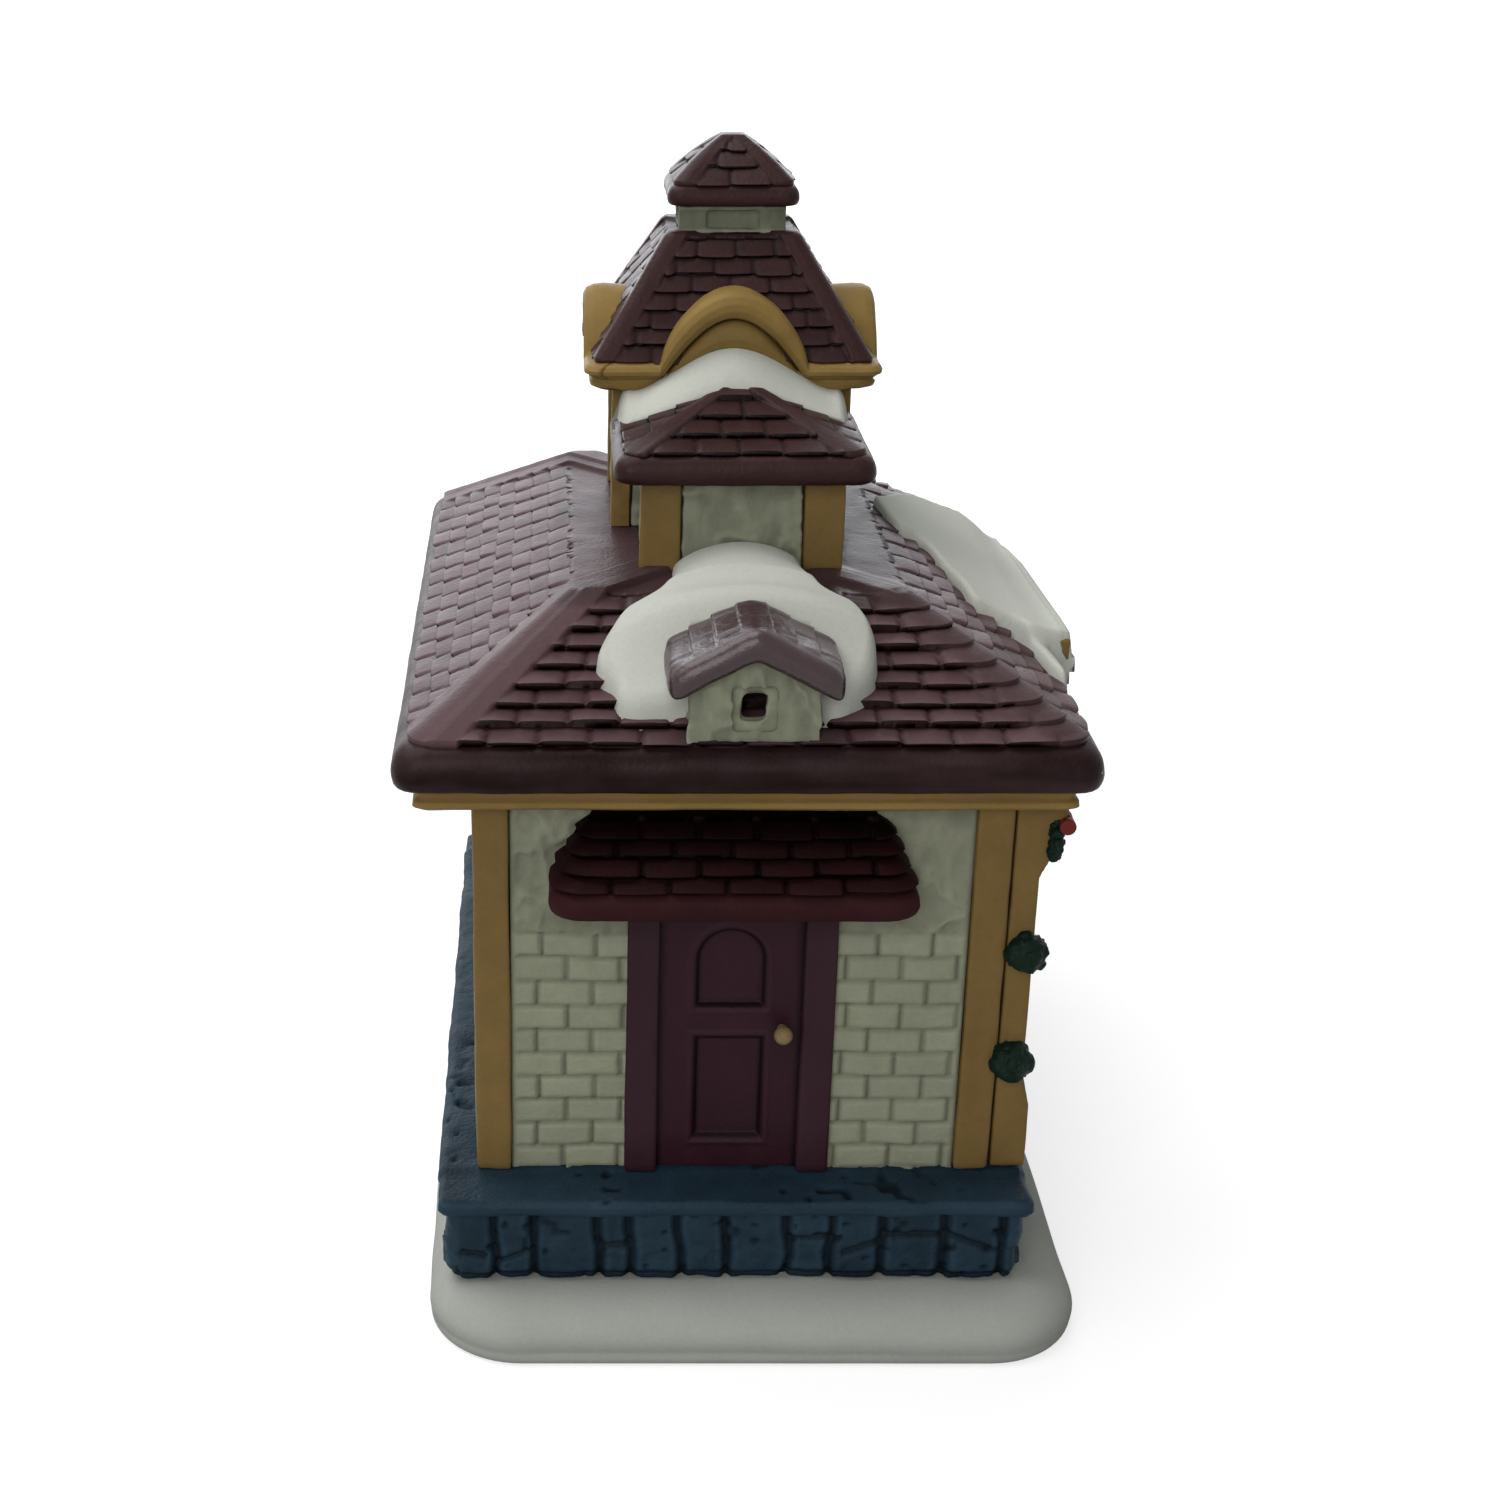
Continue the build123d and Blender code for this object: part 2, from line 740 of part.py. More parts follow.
bay_roof_width = bay_width + 2 * bay_eave_reach
bay_roof_reach = bay_reach + bay_eave_front
bay_course_level = bay_level + bay_roll
tower_front_plane = Plane((tower_x, tower_front, 0), x_dir=(1, 0, 0), z_dir=(0, -1, 0))
with BuildPart() as bay_roof:
    add(rolled_slab(bay_x, tower_front, bay_level, bay_roof_width, 2 * bay_roof_reach, bay_roll, bay_corner))
    add(
        stepped_hip(
            bay_x,
            tower_front,
            bay_course_level,
            bay_course_level + bay_rise,
            (bay_roof_width - 2 * eave_lap, 2 * bay_roof_reach - 2 * eave_lap),
            (bay_ridge_width, 2 * bay_ridge_length),
            bay_courses,
            tower_butt,
        )
    )
    split(bisect_by=tower_front_plane, keep=Keep.TOP)
    add(tower_posts.part, mode=Mode.SUBTRACT)
keep(bay_roof, "bay_roof")

# Tower roof: a steep shingled mansard on the cornice
cornice_x = tower_width / 2 + cornice_reach
cornice_y = tower_depth / 2 + cornice_reach
with BuildPart() as tower_roof_block:
    add(
        stepped_hip(
            tower_x,
            tower_y,
            tower_roof_level,
            cupola_level,
            (2 * cornice_x - 2 * tower_roof_set, 2 * cornice_y - 2 * tower_roof_set),
            (tower_top_width, tower_top_depth),
            tower_courses,
            tower_butt,
        )
    )
with BuildPart() as tower_roof:
    add(tower_roof_block.part)
    with BuildSketch(Plane((tower_x, tower_y, tower_roof_level))):
        Rectangle(tower_inner_width, tower_inner_depth)
    with BuildSketch(Plane((tower_x, tower_y, cupola_level - tower_shell))):
        Rectangle(tower_top_width - 2 * tower_shell, tower_top_depth - 2 * tower_shell)
    loft(ruled=True, mode=Mode.SUBTRACT)
keep(tower_roof, "tower_roof")

# Tower cornice, which lifts into an eyebrow hood over a shallow arch on each side
arch_radius = (arch_half_width**2 + arch_rise**2) / (2 * arch_rise)
cornice_sides = {
    "front": Plane((tower_x, tower_y - cornice_y, cornice_level), x_dir=(1, 0, 0), z_dir=(0, -1, 0)),
    "rear": Plane((tower_x, tower_y + cornice_y, cornice_level), x_dir=(-1, 0, 0), z_dir=(0, 1, 0)),
    "left": Plane((tower_x - cornice_x, tower_y, cornice_level), x_dir=(0, -1, 0), z_dir=(-1, 0, 0)),
    "right": Plane((tower_x + cornice_x, tower_y, cornice_level), x_dir=(0, 1, 0), z_dir=(1, 0, 0)),
}
with BuildPart() as tower_cornice:
    with BuildSketch(Plane((tower_x, tower_y, cornice_level))):
        RectangleRounded(2 * cornice_x, 2 * cornice_y, cornice_round)
        Rectangle(tower_inner_width, tower_inner_depth, mode=Mode.SUBTRACT)
    extrude(amount=cornice_height)
    for side_plane in cornice_sides.values():
        with BuildSketch(side_plane):
            with Locations((0, arch_rise - arch_radius)):
                Circle(arch_radius)
        extrude(amount=-arch_recess, mode=Mode.SUBTRACT)
keep(tower_cornice, "tower_cornice")

hood_sizes = {
    "front": (hood_half_width, hood_rise),
    "rear": (hood_half_width, hood_rise),
    "left": (side_hood_half_width, side_hood_rise),
    "right": (side_hood_half_width, side_hood_rise),
}
for side_name, side_plane in cornice_sides.items():
    half_width, rise = hood_sizes[side_name]
    hood_radius = (half_width**2 + rise**2) / (2 * rise)
    hood_face = side_plane.offset(hood_proud)
    with BuildPart() as tower_hood:
        with BuildSketch(hood_face):
            with Locations((0, cornice_height + rise - hood_radius)):
                Circle(hood_radius)
            with Locations((0, cornice_height)):
                Rectangle(4 * hood_radius, 4 * hood_radius, align=deepest, mode=Mode.SUBTRACT)
        extrude(amount=-cornice_y)
        crown = tower_hood.edges().filter_by(GeomType.CIRCLE)
        fillet(crown.sort_by_distance(hood_face.origin + hood_face.z_dir * cornice_y)[0], hood_round)
        with BuildSketch(hood_face):
            with Locations((0, arch_rise - arch_radius)):
                Circle(arch_radius)
        extrude(amount=-(arch_recess + hood_proud), mode=Mode.SUBTRACT)
        add(tower_roof_block.part, mode=Mode.SUBTRACT)
    keep(tower_hood, f"tower_hood_{side_name}")
    if side_name == "front":
        front_hood = tower_hood

# Cupola: a small box with sunk panels under a pyramid roof
cupola_plane = Plane((tower_x, tower_y, cupola_level))
cupola_middle = cupola_level + cupola_height / 2
with BuildPart() as cupola_box:
    with BuildSketch(cupola_plane):
        Rectangle(cupola_width, cupola_depth)
    extrude(amount=cupola_height)
    cupola_sides = (
        (0, -1, cupola_depth / 2),
        (0, 1, cupola_depth / 2),
        (-1, 0, cupola_width / 2),
        (1, 0, cupola_width / 2),
    )
    for turn_x, turn_y, reach in cupola_sides:
        panel_centre = (tower_x + turn_x * reach, tower_y + turn_y * reach, cupola_middle)
        with BuildSketch(Plane(panel_centre, x_dir=(-turn_y, turn_x, 0), z_dir=(turn_x, turn_y, 0))):
            Rectangle(cupola_panel_width, cupola_panel_height)
        extrude(amount=-cupola_panel_depth, mode=Mode.SUBTRACT)
keep(cupola_box, "cupola_box")

cupola_roof_width = cupola_width + 2 * cupola_eave_reach
cupola_roof_depth = cupola_depth + 2 * cupola_eave_reach
with BuildPart() as cupola_roof:
    add(
        rolled_slab(
            tower_x,
            tower_y,
            cupola_roof_level,
            cupola_roof_width,
            cupola_roof_depth,
            cupola_roll,
            cupola_corner,
        )
    )
    add(
        stepped_hip(
            tower_x,
            tower_y,
            cupola_roof_level + cupola_roll,
            cupola_roof_level + cupola_roll + cupola_rise,
            (cupola_roof_width - 2 * eave_lap, cupola_roof_depth - 2 * eave_lap),
            (cupola_tip, cupola_tip),
            cupola_courses,
            cupola_butt,
        )
    )
keep(cupola_roof, "cupola_roof")

# Pilasters of the street front: plinth, shaft and a corbel that flares out under the fascia
corner_pilaster_y = wall_y - post_size / 2
pilaster_places = {
    "corner_front": (-corner_pilaster_y, wall_x),
    "middle_front": (-middle_pilaster_y, panel_x),
    "middle_rear": (middle_pilaster_y, panel_x),
    "corner_rear": (corner_pilaster_y, wall_x),
}
shaft_x = panel_x + post_proud + pilaster_depth
plinth_x = shaft_x + plinth_reach
corbel_x = shaft_x + corbel_reach
corner_pilaster = None
for pilaster_name, (pilaster_y, seat_x) in pilaster_places.items():
    side_view = Plane((0, pilaster_y - pilaster_width / 2, 0), x_dir=(1, 0, 0), z_dir=(0, -1, 0))
    with BuildPart() as pilaster:
        with BuildSketch(side_view):
            with BuildLine():
                Polyline(
                    (shaft_x, wall_level - corbel_height),
                    (shaft_x, floor_level + plinth_height),
                    (plinth_x, floor_level + plinth_height - plinth_step),
                    (plinth_x, floor_level),
                    (seat_x, floor_level),
                    (seat_x, wall_level),
                    (corbel_x, wall_level),
                )
                RadiusArc((corbel_x, wall_level), (shaft_x, wall_level - corbel_height), 2 * corbel_height)
            make_face()
        extrude(amount=-pilaster_width)
    keep(pilaster, f"pilaster_{pilaster_name}")
    if corner_pilaster is None:
        corner_pilaster = pilaster

# Greens on the corner pilaster: two leafy bunches, a wreath and its bow
front_post_face = -wall_y
with BuildPart() as green_bunches:
    bunch_places = ((upper_bunch_height, upper_bunch_out), (lower_bunch_height, lower_bunch_out))
    for bunch_height, bunch_out in bunch_places:
        with Locations((wall_x + bunch_out, front_post_face - bunch_front, floor_level + bunch_height)):
            Sphere(bunch_radius)
    add(corner_pilaster.part, mode=Mode.SUBTRACT)
    with BuildSketch(Plane((wall_x - post_size / 2, -wall_y + post_size / 2, floor_level))):
        Rectangle(post_size, post_size)
    extrude(amount=wall_height, mode=Mode.SUBTRACT)
keep(green_bunches, "green_bunches")

wreath_level = floor_level + wreath_height
wreath_x = shaft_x + wreath_out
wreath_plane = Plane((wreath_x, -corner_pilaster_y, wreath_level), x_dir=(0, 1, 0), z_dir=(1, 0, 0))
with BuildPart() as wreath:
    with BuildSketch(Plane((wreath_x, -corner_pilaster_y, wreath_level))):
        with Locations((0, wreath_ring)):
            Circle(wreath_tube)
    revolve(axis=Axis(wreath_plane.origin, wreath_plane.z_dir))
    add(corner_pilaster.part, mode=Mode.SUBTRACT)
keep(wreath, "wreath")

bow_level = wreath_level + wreath_ring
bow_out = wreath_x + wreath_tube
with BuildPart() as bow:
    with Locations((bow_out, -corner_pilaster_y, bow_level)):
        Sphere(bow_knot)
        with Locations((0, -bow_loop_length / 2, 0), (0, bow_loop_length / 2, 0)):
            Cylinder(bow_loop_radius, bow_loop_length, rotation=(90, 0, 0))
    add(wreath.part, mode=Mode.SUBTRACT)
    add(corner_pilaster.part, mode=Mode.SUBTRACT)
keep(bow, "bow")

# Snow drift that slid down from the bay and parts round the dormer
slope_run = (eave_length - deck_length) / 2


def mound_outline(plane, half_width, foot, level, rise):
    """Cross section of heaped snow: upright sides from the foot to the level, and a crown above."""
    with BuildSketch(plane) as outline:
        with BuildLine():
            left_edge = (-half_width, level)
            right_edge = (half_width, level)
            ThreePointArc(left_edge, (0, level + rise), right_edge)
            Polyline(right_edge, (half_width, foot), (-half_width, foot), left_edge)
        make_face()
    return outline.sketch


with BuildPart() as roof_envelope:
    add(rolled_slab(0, 0, eave_level, eave_width, eave_length, eave_roll, eave_corner))
    with BuildSketch(Plane.XY.offset(course_level)):
        Rectangle(eave_width - 2 * eave_lap, eave_length - 2 * eave_lap)
    with BuildSketch(Plane.XY.offset(deck_level)):
        Rectangle(deck_width + 2 * roof_butt, deck_length + 2 * roof_butt)
    loft(ruled=True)
drift_places = (drift_front_set, slope_run - drift_shoulder, slope_run, bay_front + eave_y)
drift_halves = (drift_front_half, drift_middle_half, drift_edge_half, drift_edge_half)
drift_edge = [(half, set_back - eave_y) for half, set_back in zip(drift_halves, drift_places)]
drift_rises = (drift_front_rise, drift_middle_rise, drift_edge_rise, drift_back_rise)
with BuildPart() as front_snow:
    for set_back, rise in zip(drift_places, drift_rises):
        drift_plane = Plane((dormer_x, -eave_y + set_back, 0), x_dir=(1, 0, 0), z_dir=(0, -1, 0))
        drift_level = course_level + roof_rise * min(1.0, set_back / slope_run)
        add(mound_outline(drift_plane, drift_span, eave_level, drift_level, rise))
    loft(ruled=True)
    with BuildSketch(Plane((dormer_x, 0, eave_level))):
        Polygon(*drift_edge, *((-half, place) for half, place in reversed(drift_edge)), align=None)
    extrude(amount=drift_span + roof_rise + eave_roll, mode=Mode.INTERSECT)
    with BuildSketch(dormer_face.offset(dormer_roof_front)):
        Polygon(
            (-dormer_roof_half, dormer_roof_foot),
            (0, dormer_apex_level),
            (dormer_roof_half, dormer_roof_foot),
            (dormer_roof_half, deck_level + drift_span),
            (-dormer_roof_half, deck_level + drift_span),
            align=None,
        )
    extrude(amount=-dormer_roof_length, mode=Mode.SUBTRACT)
    add(roof_envelope.part, mode=Mode.SUBTRACT)
    add(dormer_block.part, mode=Mode.SUBTRACT)
keep(front_snow, "front_snow")

# Snow packed under the front hood, on top of the bay roof
bay_snow_level = cornice_level - bay_snow_sink / 2
bay_snow_foot = cornice_level - bay_snow_sink
with BuildPart() as bay_snow:
    for reach, rise in ((cornice_reach - arch_recess, bay_snow_rise), (bay_snow_depth, bay_snow_front_rise)):
        bay_snow_plane = tower_front_plane.offset(reach)
        add(mound_outline(bay_snow_plane, bay_snow_half, bay_snow_foot, bay_snow_level, rise))
    loft(ruled=True)
    with BuildSketch(tower_front_plane):
        with Locations((0, bay_snow_foot)):
            Rectangle(2 * bay_snow_half, cornice_level - bay_snow_foot, align=standing)
    extrude(amount=cornice_reach - arch_recess)
    add(bay_roof.part, mode=Mode.SUBTRACT)
    add(tower_posts.part, mode=Mode.SUBTRACT)
    add(tower_cornice.part, mode=Mode.SUBTRACT)
    add(tower_roof_block.part, mode=Mode.SUBTRACT)
    add(front_hood.part, mode=Mode.SUBTRACT)
keep(bay_snow, "bay_snow")

# Snow sheet on the street slope, drooping over the eave
deck_x = deck_width / 2
deck_y = deck_length / 2
snow_edge_x = eave_x + street_snow_droop
snow_back_y = eave_y - street_snow_back_set
snow_run = eave_x - deck_x
snow_front_edge = [(deck_x + snow_run * share, place) for share, place in street_snow_edge]
with BuildPart() as street_snow:
    with BuildSketch(Plane((0, snow_back_y, 0), x_dir=(1, 0, 0), z_dir=(0, -1, 0))):
        Polygon(
            (deck_x, course_level),
            (deck_x, deck_level + street_snow_depth),
            (eave_x, course_level + street_snow_depth),
            (snow_edge_x, course_level),
            (snow_edge_x, eave_level + eave_roll / 2),
            (eave_x - eave_roll, eave_level + eave_roll / 2),
            align=None,
        )
    extrude(amount=2 * snow_back_y)
    with BuildSketch(Plane.XY.offset(eave_level)):
        Polygon(
            (deck_x, deck_y),
            *snow_front_edge,
            (snow_edge_x, snow_front_edge[-1][1]),
            (snow_edge_x, snow_back_y),
            (eave_x, snow_back_y),
            align=None,
        )
    extrude(amount=roof_rise + eave_roll + 2 * street_snow_depth, mode=Mode.INTERSECT)
    add(roof_envelope.part, mode=Mode.SUBTRACT)
    add(parapet_block.part, mode=Mode.SUBTRACT)
keep(street_snow, "street_snow")

# Lamp holder: a flange outside the rear wall with a bare cord inlet, a socket and two spring clips
lamp_level = floor_level + lamp_height
flange_plane = Plane((0, panel_y + lamp_seat_gap, lamp_level), x_dir=(-1, 0, 0), z_dir=(0, 1, 0))
with BuildPart() as lamp_flange:
    with BuildSketch(flange_plane):
        Circle(flange_radius)
    extrude(amount=flange_thickness)
    with BuildSketch(flange_plane.offset(flange_thickness)):
        Circle(inlet_radius)
    extrude(amount=inlet_length)
    with BuildSketch(flange_plane):
        Circle(cord_bore_radius)
    extrude(amount=flange_thickness + inlet_length, mode=Mode.SUBTRACT)
keep(lamp_flange, "lamp_flange")

socket_bore = cap_radius + cap_clearance
with BuildPart() as lamp_socket:
    with BuildSketch(flange_plane):
        Circle(socket_radius)
        Circle(cord_bore_radius, mode=Mode.SUBTRACT)
    extrude(amount=-socket_length)
    with BuildSketch(flange_plane.offset(-socket_bottom)):
        Circle(socket_bore)
    extrude(amount=-(socket_length - socket_bottom), mode=Mode.SUBTRACT)
keep(lamp_socket, "lamp_socket")

clip_peak_radius = lamp_hole_radius - lamp_clearance
with BuildPart() as lamp_clips:
    with BuildSketch(Plane((0, panel_y + lamp_seat_gap, lamp_level), x_dir=(0, -1, 0), z_dir=(1, 0, 0))):
        with BuildLine():
            ThreePointArc(
                (0, clip_root_radius),
                (clip_length / 2, clip_peak_radius),
                (clip_length, clip_root_radius),
            )
            Line((clip_length, clip_root_radius), (clip_length, clip_root_radius - clip_thickness))
            ThreePointArc(
                (clip_length, clip_root_radius - clip_thickness),
                (clip_length / 2, clip_peak_radius - clip_thickness),
                (0, clip_root_radius - clip_thickness),
            )
            Line((0, clip_root_radius - clip_thickness), (0, clip_root_radius))
        make_face()
    extrude(amount=clip_width / 2, both=True)
    mirror(about=Plane.XY.offset(lamp_level))
keep(lamp_clips, "lamp_clips")

with BuildPart() as lamp_contact:
    with BuildSketch(flange_plane.offset(-socket_bottom)):
        Circle(contact_radius)
    extrude(amount=-contact_height)
keep(lamp_contact, "lamp_contact")

# Bulb: a threaded cap in the socket and a blown glass envelope
cap_back = panel_y + lamp_seat_gap - socket_bottom - contact_height - contact_gap
cap_front = cap_back - cap_length
thread_pitch = cap_length / (thread_count + 1)
bulb_axis = Axis((0, 0, lamp_level), (0, 1, 0))
bulb_half = Plane((0, 0, lamp_level), x_dir=(1, 0, 0), z_dir=(0, 0, 1))
with BuildPart() as bulb_cap:
    with BuildSketch(bulb_half):
        with BuildLine():
            thread = [(0, cap_back), (contact_radius, cap_back)]
            for turn in range(thread_count):
                crest = cap_back - (turn + 0.5) * thread_pitch
                thread.append((cap_radius - thread_depth, crest + thread_pitch / 2))
                thread.append((cap_radius, crest))
            thread.append((cap_radius - thread_depth, crest - thread_pitch / 2))
            thread.append((cap_radius - thread_depth, cap_front))
            thread.append((0, cap_front))
            Polyline(thread, close=True)
        make_face()
    revolve(axis=bulb_axis)
keep(bulb_cap, "bulb_cap")

with BuildPart() as bulb_glass:
    with BuildSketch(bulb_half):
        with BuildLine():
            for inset in (0.0, glass_thickness):
                tip = cap_front - glass_length + inset
                Spline(
                    (glass_neck_radius - inset, cap_front),
                    (glass_radius - inset, cap_front - glass_length * 0.36),
                    (glass_tip_radius * 1.8 - inset, tip + glass_tip_radius),
                    (0, tip),
                    tangents=((0.35, -1), (-1, 0)),
                )
            Line((glass_neck_radius, cap_front), (glass_neck_radius - glass_thickness, cap_front))
            Line((0, cap_front - glass_length), (0, cap_front - glass_length + glass_thickness))
        make_face()
    revolve(axis=bulb_axis)
keep(bulb_glass, "bulb_glass")
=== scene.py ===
import math
import bmesh
import bpy
import numpy as np
from mathutils import Matrix, Vector


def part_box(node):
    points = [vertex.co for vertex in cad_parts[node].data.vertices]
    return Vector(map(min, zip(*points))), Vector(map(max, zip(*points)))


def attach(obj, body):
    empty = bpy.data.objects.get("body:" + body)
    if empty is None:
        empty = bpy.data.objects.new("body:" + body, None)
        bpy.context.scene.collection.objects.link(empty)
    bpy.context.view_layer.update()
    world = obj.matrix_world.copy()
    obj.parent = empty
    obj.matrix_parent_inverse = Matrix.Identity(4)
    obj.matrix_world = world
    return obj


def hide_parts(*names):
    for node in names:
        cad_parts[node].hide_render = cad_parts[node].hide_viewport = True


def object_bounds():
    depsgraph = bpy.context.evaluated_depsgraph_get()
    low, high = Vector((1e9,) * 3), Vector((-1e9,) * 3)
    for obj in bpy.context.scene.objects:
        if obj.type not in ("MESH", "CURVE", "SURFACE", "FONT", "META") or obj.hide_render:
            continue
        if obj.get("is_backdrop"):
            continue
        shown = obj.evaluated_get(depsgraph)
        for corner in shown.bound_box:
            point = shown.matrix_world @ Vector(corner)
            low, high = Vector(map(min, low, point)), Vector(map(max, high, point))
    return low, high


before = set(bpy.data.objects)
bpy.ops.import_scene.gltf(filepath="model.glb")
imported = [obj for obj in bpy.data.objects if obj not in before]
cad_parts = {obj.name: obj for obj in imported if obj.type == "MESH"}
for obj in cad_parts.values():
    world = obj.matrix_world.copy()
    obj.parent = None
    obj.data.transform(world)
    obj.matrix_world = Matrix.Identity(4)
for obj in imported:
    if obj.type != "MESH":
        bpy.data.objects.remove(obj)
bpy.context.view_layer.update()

# Snow base: one thick slab of white bisque porcelain with a soft, hand-smoothed edge.
# It is cast with the house standing on it, and left unpainted, so it keeps a chalky, grainy skin.
MM = 0.001


def node_box(node):
    """Lowest and highest corner of a CAD node, in mm."""
    low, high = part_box(node)
    return np.array(low) / MM, np.array(high) / MM


def chance(a, b, seed):
    """Repeatable random numbers from 0 to 1 for whole-number pairs."""
    a = np.asarray(a, np.int64)
    b = np.asarray(b, np.int64)
    mixed = a * 374761393 + b * 668265263 + seed * 974711
    mixed = (mixed ^ (mixed >> 13)) * 1274126177
    mixed = mixed ^ (mixed >> 16)
    return (mixed & 0xFFFF) / 65535.0


def lumps(points, cell, seed):
    """Smooth lumps from -1 to 1 at points in mm, about one lump per cell."""
    spot = np.asarray(points, float) / cell + seed * 7.37
    base = np.floor(spot).astype(np.int64)
    part = spot - base
    part = part * part * (3 - 2 * part)
    total = 0.0
    for x in (0, 1):
        for y in (0, 1):
            for z in (0, 1):
                share = np.where(x, part[..., 0], 1 - part[..., 0])
                share = share * np.where(y, part[..., 1], 1 - part[..., 1])
                share = share * np.where(z, part[..., 2], 1 - part[..., 2])
                corner = chance(base[..., 0] + x + 57 * (base[..., 2] + z), base[..., 1] + y, seed)
                total = total + share * corner
    return 2 * total - 1


def step(low, high, value):
    """Soft step from 0 to 1 between low and high."""
    share = np.clip((value - low) / (high - low), 0, 1)
    return share * share * (3 - 2 * share)


def outward(points):
    """Unit normals of a grid of points, carried across the seam where its first and last columns meet."""
    belt = np.allclose(points[:, 0], points[:, -1])
    grid = np.concatenate([points[:, -2:-1], points, points[:, 1:2]], 1) if belt else points
    normal = np.cross(np.gradient(grid, axis=1), np.gradient(grid, axis=0))
    normal = normal[:, 1:-1] if belt else normal
    return normal / np.maximum(np.linalg.norm(normal, axis=2, keepdims=True), 1e-9)


def closed(bm):
    """Joins points that meet, closes open ends and turns the faces outwards."""
    bmesh.ops.remove_doubles(bm, verts=bm.verts, dist=1e-6)
    bmesh.ops.holes_fill(bm, edges=[edge for edge in bm.edges if edge.is_boundary], sides=0)
    bmesh.ops.recalc_face_normals(bm, faces=bm.faces)


def lay_grid(points, marks, whole=True):
    """Grid of points in mm made a mesh, with its paint marks; a whole one is closed all round."""
    rows, columns = points.shape[:2]
    bm = bmesh.new()
    bmesh.ops.create_grid(bm, x_segments=columns - 1, y_segments=rows - 1, size=1.0)
    mesh = bpy.data.meshes.new("grid")
    bm.to_mesh(mesh)
    bm.free()
    flat = np.empty(len(mesh.vertices) * 3)
    mesh.vertices.foreach_get("co", flat)
    place = flat.reshape(-1, 3)
    column = np.rint((place[:, 0] + 1) / 2 * (columns - 1)).astype(int)
    row = np.rint((place[:, 1] + 1) / 2 * (rows - 1)).astype(int)
    mesh.vertices.foreach_set("co", (points[row, column] * MM).ravel())
    for mark, values in marks.items():
        layer = mesh.attributes.new(mark, "FLOAT", "POINT")
        layer.data.foreach_set("value", np.asarray(values[row, column], np.float32))
    if whole:
        bm = bmesh.new()
        bm.from_mesh(mesh)
        closed(bm)
        bm.to_mesh(mesh)
        bm.free()
    return mesh


def set_piece(node, mesh, material):
    """Puts a finished mesh of the house in the scene in place of its CAD node."""
    mesh.name = node + "_cast"
    mesh.materials.clear()
    mesh.materials.append(material)
    mesh.shade_smooth()
    piece = bpy.data.objects.new(node + "_cast", mesh)
    bpy.context.scene.collection.objects.link(piece)
    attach(piece, "house")
    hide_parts(node)


def ring(centre, rows, spacing, corner_steps=6):
    """Belt round a rounded rectangle. Rows are half width, half length, level and corner radius in mm.
    Gives the points, the run along each side from its middle, the distance from the corner, and the
    side's number."""
    rows = np.array(rows, float)
    wide, long, level, corner = rows.T[:, :, None]
    points, runs, ends, sides = [], [], [], []
    for side in range(4):
        turn = side * math.pi / 2
        out = np.array([round(math.cos(turn)), round(math.sin(turn))])
        way = np.array([-out[1], out[0]])
        reach, half = (wide, long) if side % 2 == 0 else (long, wide)
        count = max(4, int(2 * half.max() / spacing))
        share = np.linspace(-1, 1, count, endpoint=False)[None, :]
        run = (half - corner) * share
        flat = out * reach[..., None] + way * run[..., None]
        points.append(flat)
        runs.append(run)
        ends.append((half - corner) * (1 - abs(share)))
        angle = np.linspace(0, math.pi / 2, corner_steps, endpoint=False)[None, :, None]
        bend = out * np.cos(angle) + way * np.sin(angle)
        pivot = out * (reach - corner)[..., None] + way * (half - corner)[..., None]
        points.append(pivot + corner[..., None] * bend)
        runs.append(np.repeat(half - corner, corner_steps, 1))
        ends.append(np.zeros((len(rows), corner_steps)))
        sides.append(np.full(count + corner_steps, side))
    points, runs, ends = (np.concatenate(kind, 1) for kind in (points, runs, ends))
    sides = np.concatenate(sides)
    points = np.concatenate([points, points[:, :1]], 1)
    runs = np.concatenate([runs, runs[:, :1]], 1)
    ends = np.concatenate([ends, ends[:, :1]], 1)
    sides = np.append(sides, sides[0])
    height = np.broadcast_to(level, points.shape[:2])
    points = np.dstack([points[..., 0] + centre[0], points[..., 1] + centre[1], height])
    return points, runs, ends, sides


def between(stops, parts):
    """Rows of numbers run straight from stop to stop, with that many parts in each stretch."""
    stops = [np.array(stop, float) for stop in stops]
    rows = []
    for first, last, count in zip(stops, stops[1:], parts):
        rows += [first + (last - first) * part / count for part in range(count)]
    return rows + [stops[-1]]


def node_link(tree, source, output, target, socket):
    """Links two shader nodes by the names of their sockets."""
    tree.links.new(source.outputs[output], target.inputs[socket])


